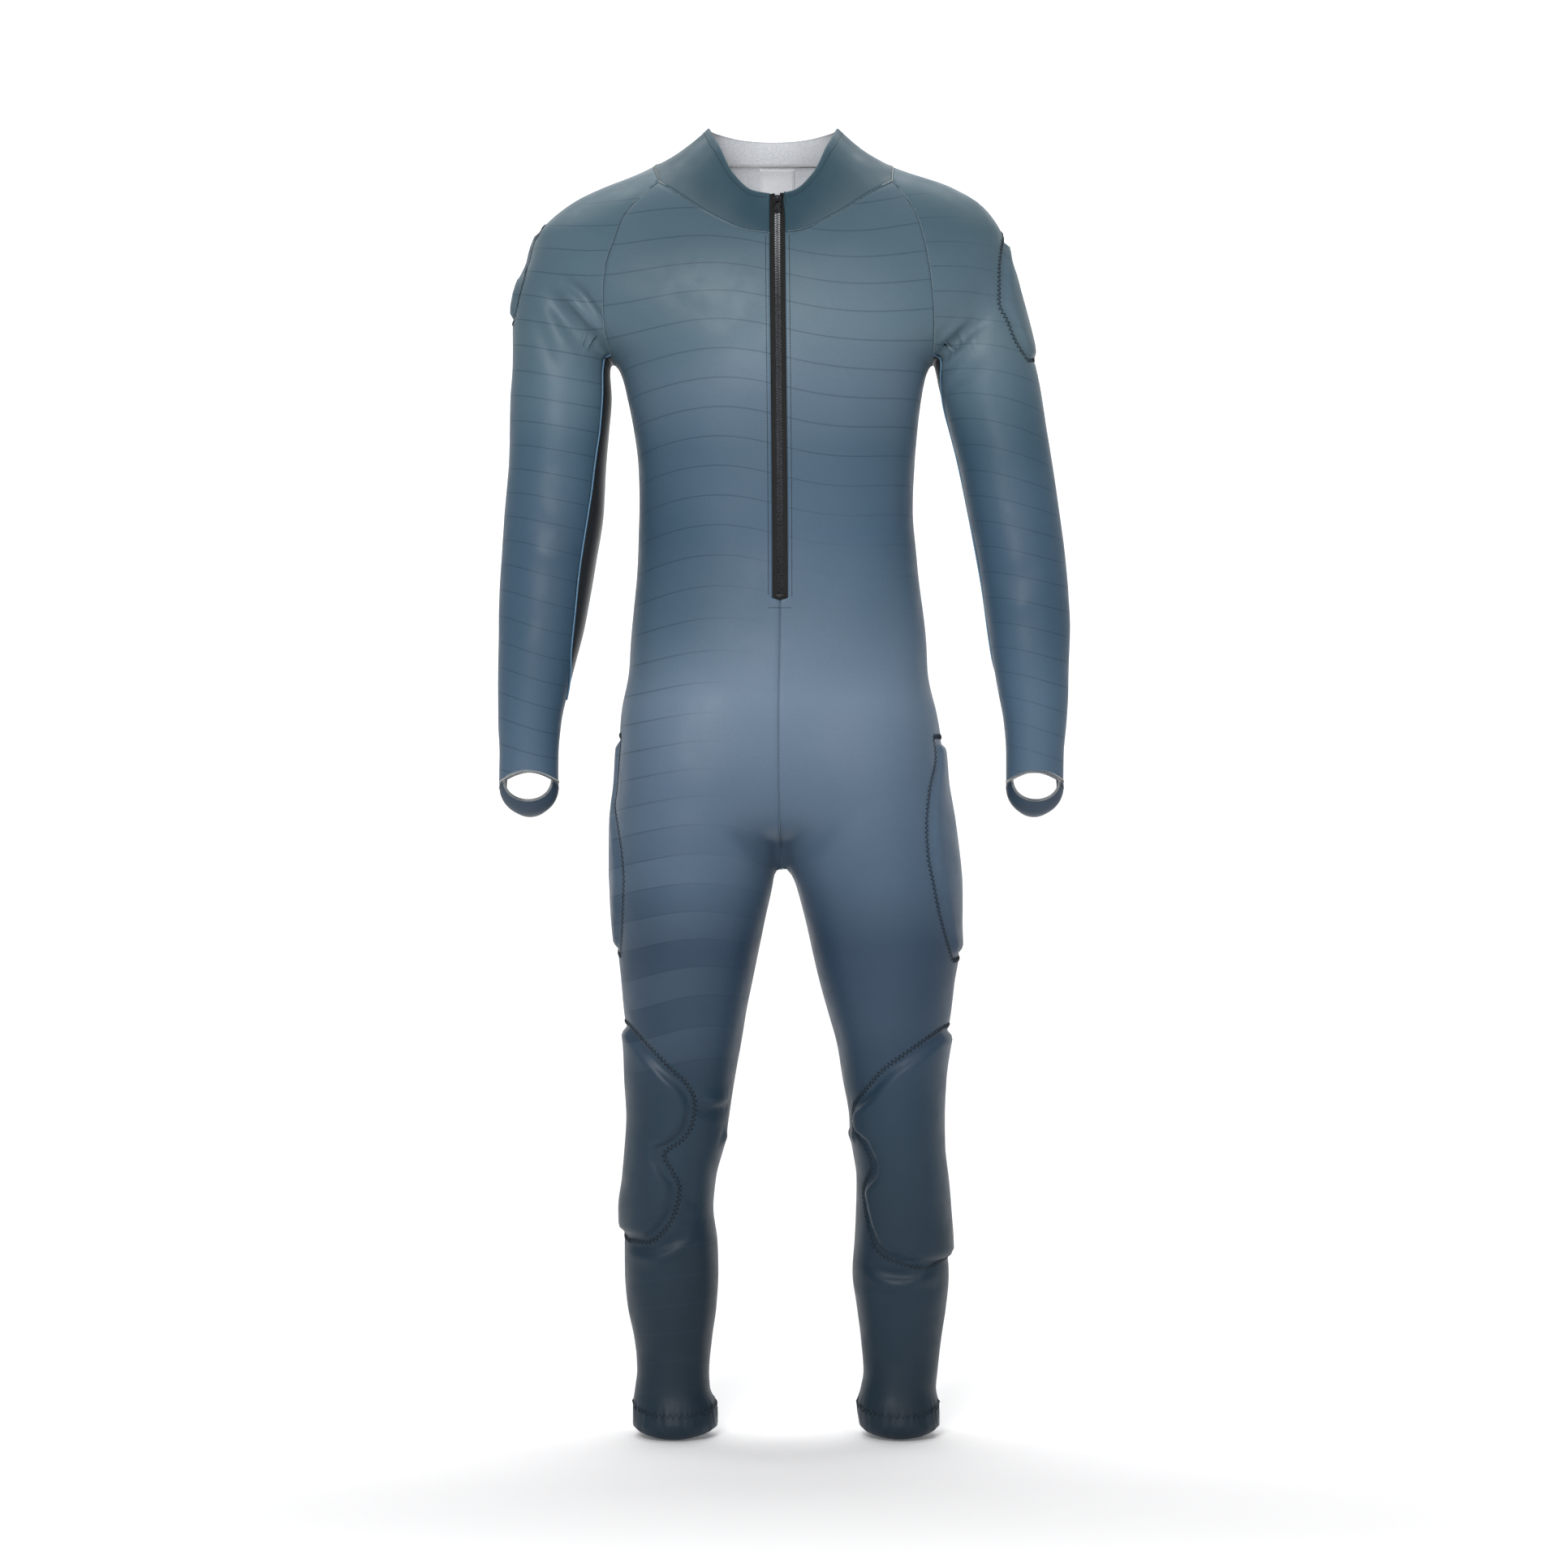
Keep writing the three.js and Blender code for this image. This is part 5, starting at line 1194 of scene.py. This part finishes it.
for side in SIGN:
    _, grid, out = loops[side]
    inward = np.gradient(grid, axis=1)
    overlock(f"overlock_loop_front_{side}", grid[:, 0], out[:, 0], inward[:, 0], thread_grey)
    overlock(f"overlock_loop_back_{side}", grid[:, -1], out[:, -1], -inward[:, -1], thread_black)
    edge = sleeve[side][-1]
    overlock(f"overlock_wrist_{side}", edge, outward(edge), sleeve[side][-2] - edge, thread_grey, "shell_sleeve")
    for row in (2, -3):
        bar = even(grid[row] + out[row] * 0.3, 1.2)
        rows = stitches(bar, np.repeat(out[row, :1], len(bar), 0), 1.8, 0.7)
        dress(thread(f"loop_bar_{side}_{row % 45}", rows, EDGE_THREAD, thread_black), "loop")

# The overlocked seam inside the back of the neck
inside_line = even(seam_line[degrees > 60], 2.0)
inside_out = outward(inside_line)
overlock("overlock_neck", inside_line - inside_out * 1.9, inside_out, np.repeat(UP[None], len(inside_line), 0),
         thread_grey, "collar", 4.2, 1.7)

# Rim hem stitch, just below the collar's folded rim
rim_out = grid_normals(collar_grid, -FORWARD)[2]
rim_line = collar_grid[2] + rim_out * 0.15
dress(thread("rim_stitch", stitches(rim_line[2:-2], rim_out[2:-2], 2.6, 1.0), SEAM_THREAD, thread_dark), "collar")

# The label: a folded satin tab, sewn in at its top, which stands off a little more towards its foot
LABEL_WIDTH, LABEL_TOP, LABEL_FOOT = 40, 3, 34  # the last two are distances below the collar's seam
label_columns, label_rows = 17, 15
across = np.linspace(-LABEL_WIDTH / 2, LABEL_WIDTH / 2, label_columns)
half_line = fine["right", "back"][:12, 0]
label = []
for i, step in enumerate(np.linspace(LABEL_TOP, LABEL_FOOT, label_rows)):
    at = follow(step, run_along(half_line), half_line)
    behind = facing_point("back", at[0] + across, np.full(label_columns, at[2]))
    wave = LABEL_WAVE * np.sin(across / 9 + i / 5) * i / label_rows
    off = LABEL_OFF + LABEL_LEAN * (i / (label_rows - 1)) ** 2 + wave
    label.append(behind - outward(behind) * off[:, None])
label = np.array(label)
label_out = grid_normals(label, FORWARD)
made_label = dress(shell("neck_label_satin", [(label, label_out, np.zeros(label.shape[:2]))],
                         [label_satin, label_satin], 0.5), "label", "neck_label")
frame_line, frame_out = [np.concatenate([part[0, 1:-1], part[1:-1, -2], part[-1, -2:0:-1], part[-2:0:-1, 1]])
                         for part in (label, label_out)]
rows = stitches(frame_line + frame_out * 0.1, frame_out, 1.6, 0.6)
dress(thread("label_stitch", rows, LABEL_THREAD, thread_grey), "label")

# Zip teeth: a bent bar across the gap every 1.5 mm, from each side in turn
TOOTH = [(-2.6, -1.9), (-2.3, -1.1), (-0.6, -0.95), (0.9, -1.2), (1.1, -1.9)]  # across the gap, out of the cloth
zip_line = np.concatenate([collar_grid[:-1, 0], fine["right", "front"][:ZIP_ROW + 1, 0]])
zip_line[:, 0] += ZIP_OPENING / 2
zip_line = even(zip_line, 1.5)[15:-3]
zip_way = np.gradient(zip_line, axis=0)
zip_out = unit(vectors(0, zip_way[:, 2], -zip_way[:, 1]))
zip_out *= np.where(zip_out[:, 1:2] > 0, -1, 1)
teeth = []
for i, (at, out) in enumerate(zip(zip_line, zip_out)):
    way = 1 if i % 2 == 0 else -1
    teeth.append([at + np.array([way * x, 0, 0]) + out * height for x, height in TOOTH])
dress(thread("zip_teeth", teeth, 0.48, coil_black, 5), "coil", "zip_coil")
for side in SIGN:
    carries(f"zip_tape_{side}", tape_black)
    carries(f"zip_top_stop_{side}", metal_black)
for node in ("zip_slider", "zip_pull", "zip_bottom_stop"):
    carries(node, metal_black)


# Cut sizes

FLAT = {  # width and length in metres and area in square metres of the cut pieces, before they were stretched
    "front": (0.34, 1.40, 0.33), "sleeve": (0.42, 0.80, 0.175), "underarm": (0.12, 0.42, 0.026),
    "back": (0.46, 1.44, 0.42),
}
for name, made in made_panels.items():
    width, length, area = FLAT[name.split("_")[0]]


# Studio

def area_light(name, place, target, size, power):
    data = bpy.data.lights.new(name, "AREA")
    data.shape = "RECTANGLE"
    data.size, data.size_y = size
    data.energy = power
    made = bpy.data.objects.new(name, data)
    made.location = place
    made.rotation_euler = (Vector(target) - Vector(place)).to_track_quat("-Z", "Y").to_euler()
    bpy.context.scene.collection.objects.link(made)


def sweep(half_width=6000, near=-6000, bend=1600, radius=1200, top=5000):
    """A pale floor that curves up into the wall behind, in mm, just below the suit."""
    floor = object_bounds()[0][2] / MM - 2
    turns = np.radians(np.arange(7.5, 91, 7.5))
    profile = [(near, 0), (bend, 0)] + [(bend + radius * math.sin(a), radius - radius * math.cos(a)) for a in turns]
    profile += [(bend + radius, top)]
    points = [(x, y, z + floor) for y, z in profile for x in (-half_width, half_width)]
    faces = [[2 * i, 2 * i + 1, 2 * i + 3, 2 * i + 2] for i in range(len(profile) - 1)]
    n = Nodes("studio_paper", 0.9)
    paper = n.finish(n.mixed(n.noise(1.5), colour("#f6f6f7"), colour("#fafafa")))
    new_object("studio_sweep", points, faces, [paper])


scene = bpy.context.scene
camera_data = bpy.data.cameras.new("camera")
camera_data.angle = VIEW_ANGLE
camera = bpy.data.objects.new("camera", camera_data)
camera.location = CAMERA * MM
camera.rotation_euler = (math.radians(90), 0, 0)
scene.collection.objects.link(camera)
scene.camera = camera

world = bpy.data.worlds.new("studio")
world.use_nodes = True
world.node_tree.nodes["Background"].inputs["Color"].default_value = (1, 1, 1, 1)
world.node_tree.nodes["Background"].inputs["Strength"].default_value = 0.34
scene.world = world
sweep()
area_light("key", (-0.7, -3.4, 0.9), (0, 0, -0.6), (1.4, 1.4), 88)
area_light("fill", (1.6, -3.2, 0.2), (0, 0, -0.7), (1.0, 2.2), 14)
area_light("wall_wash", (0, 0.9, 2.4), (0, 2.8, -0.4), (4.0, 0.8), 110)
scene.view_settings.view_transform = "Standard"
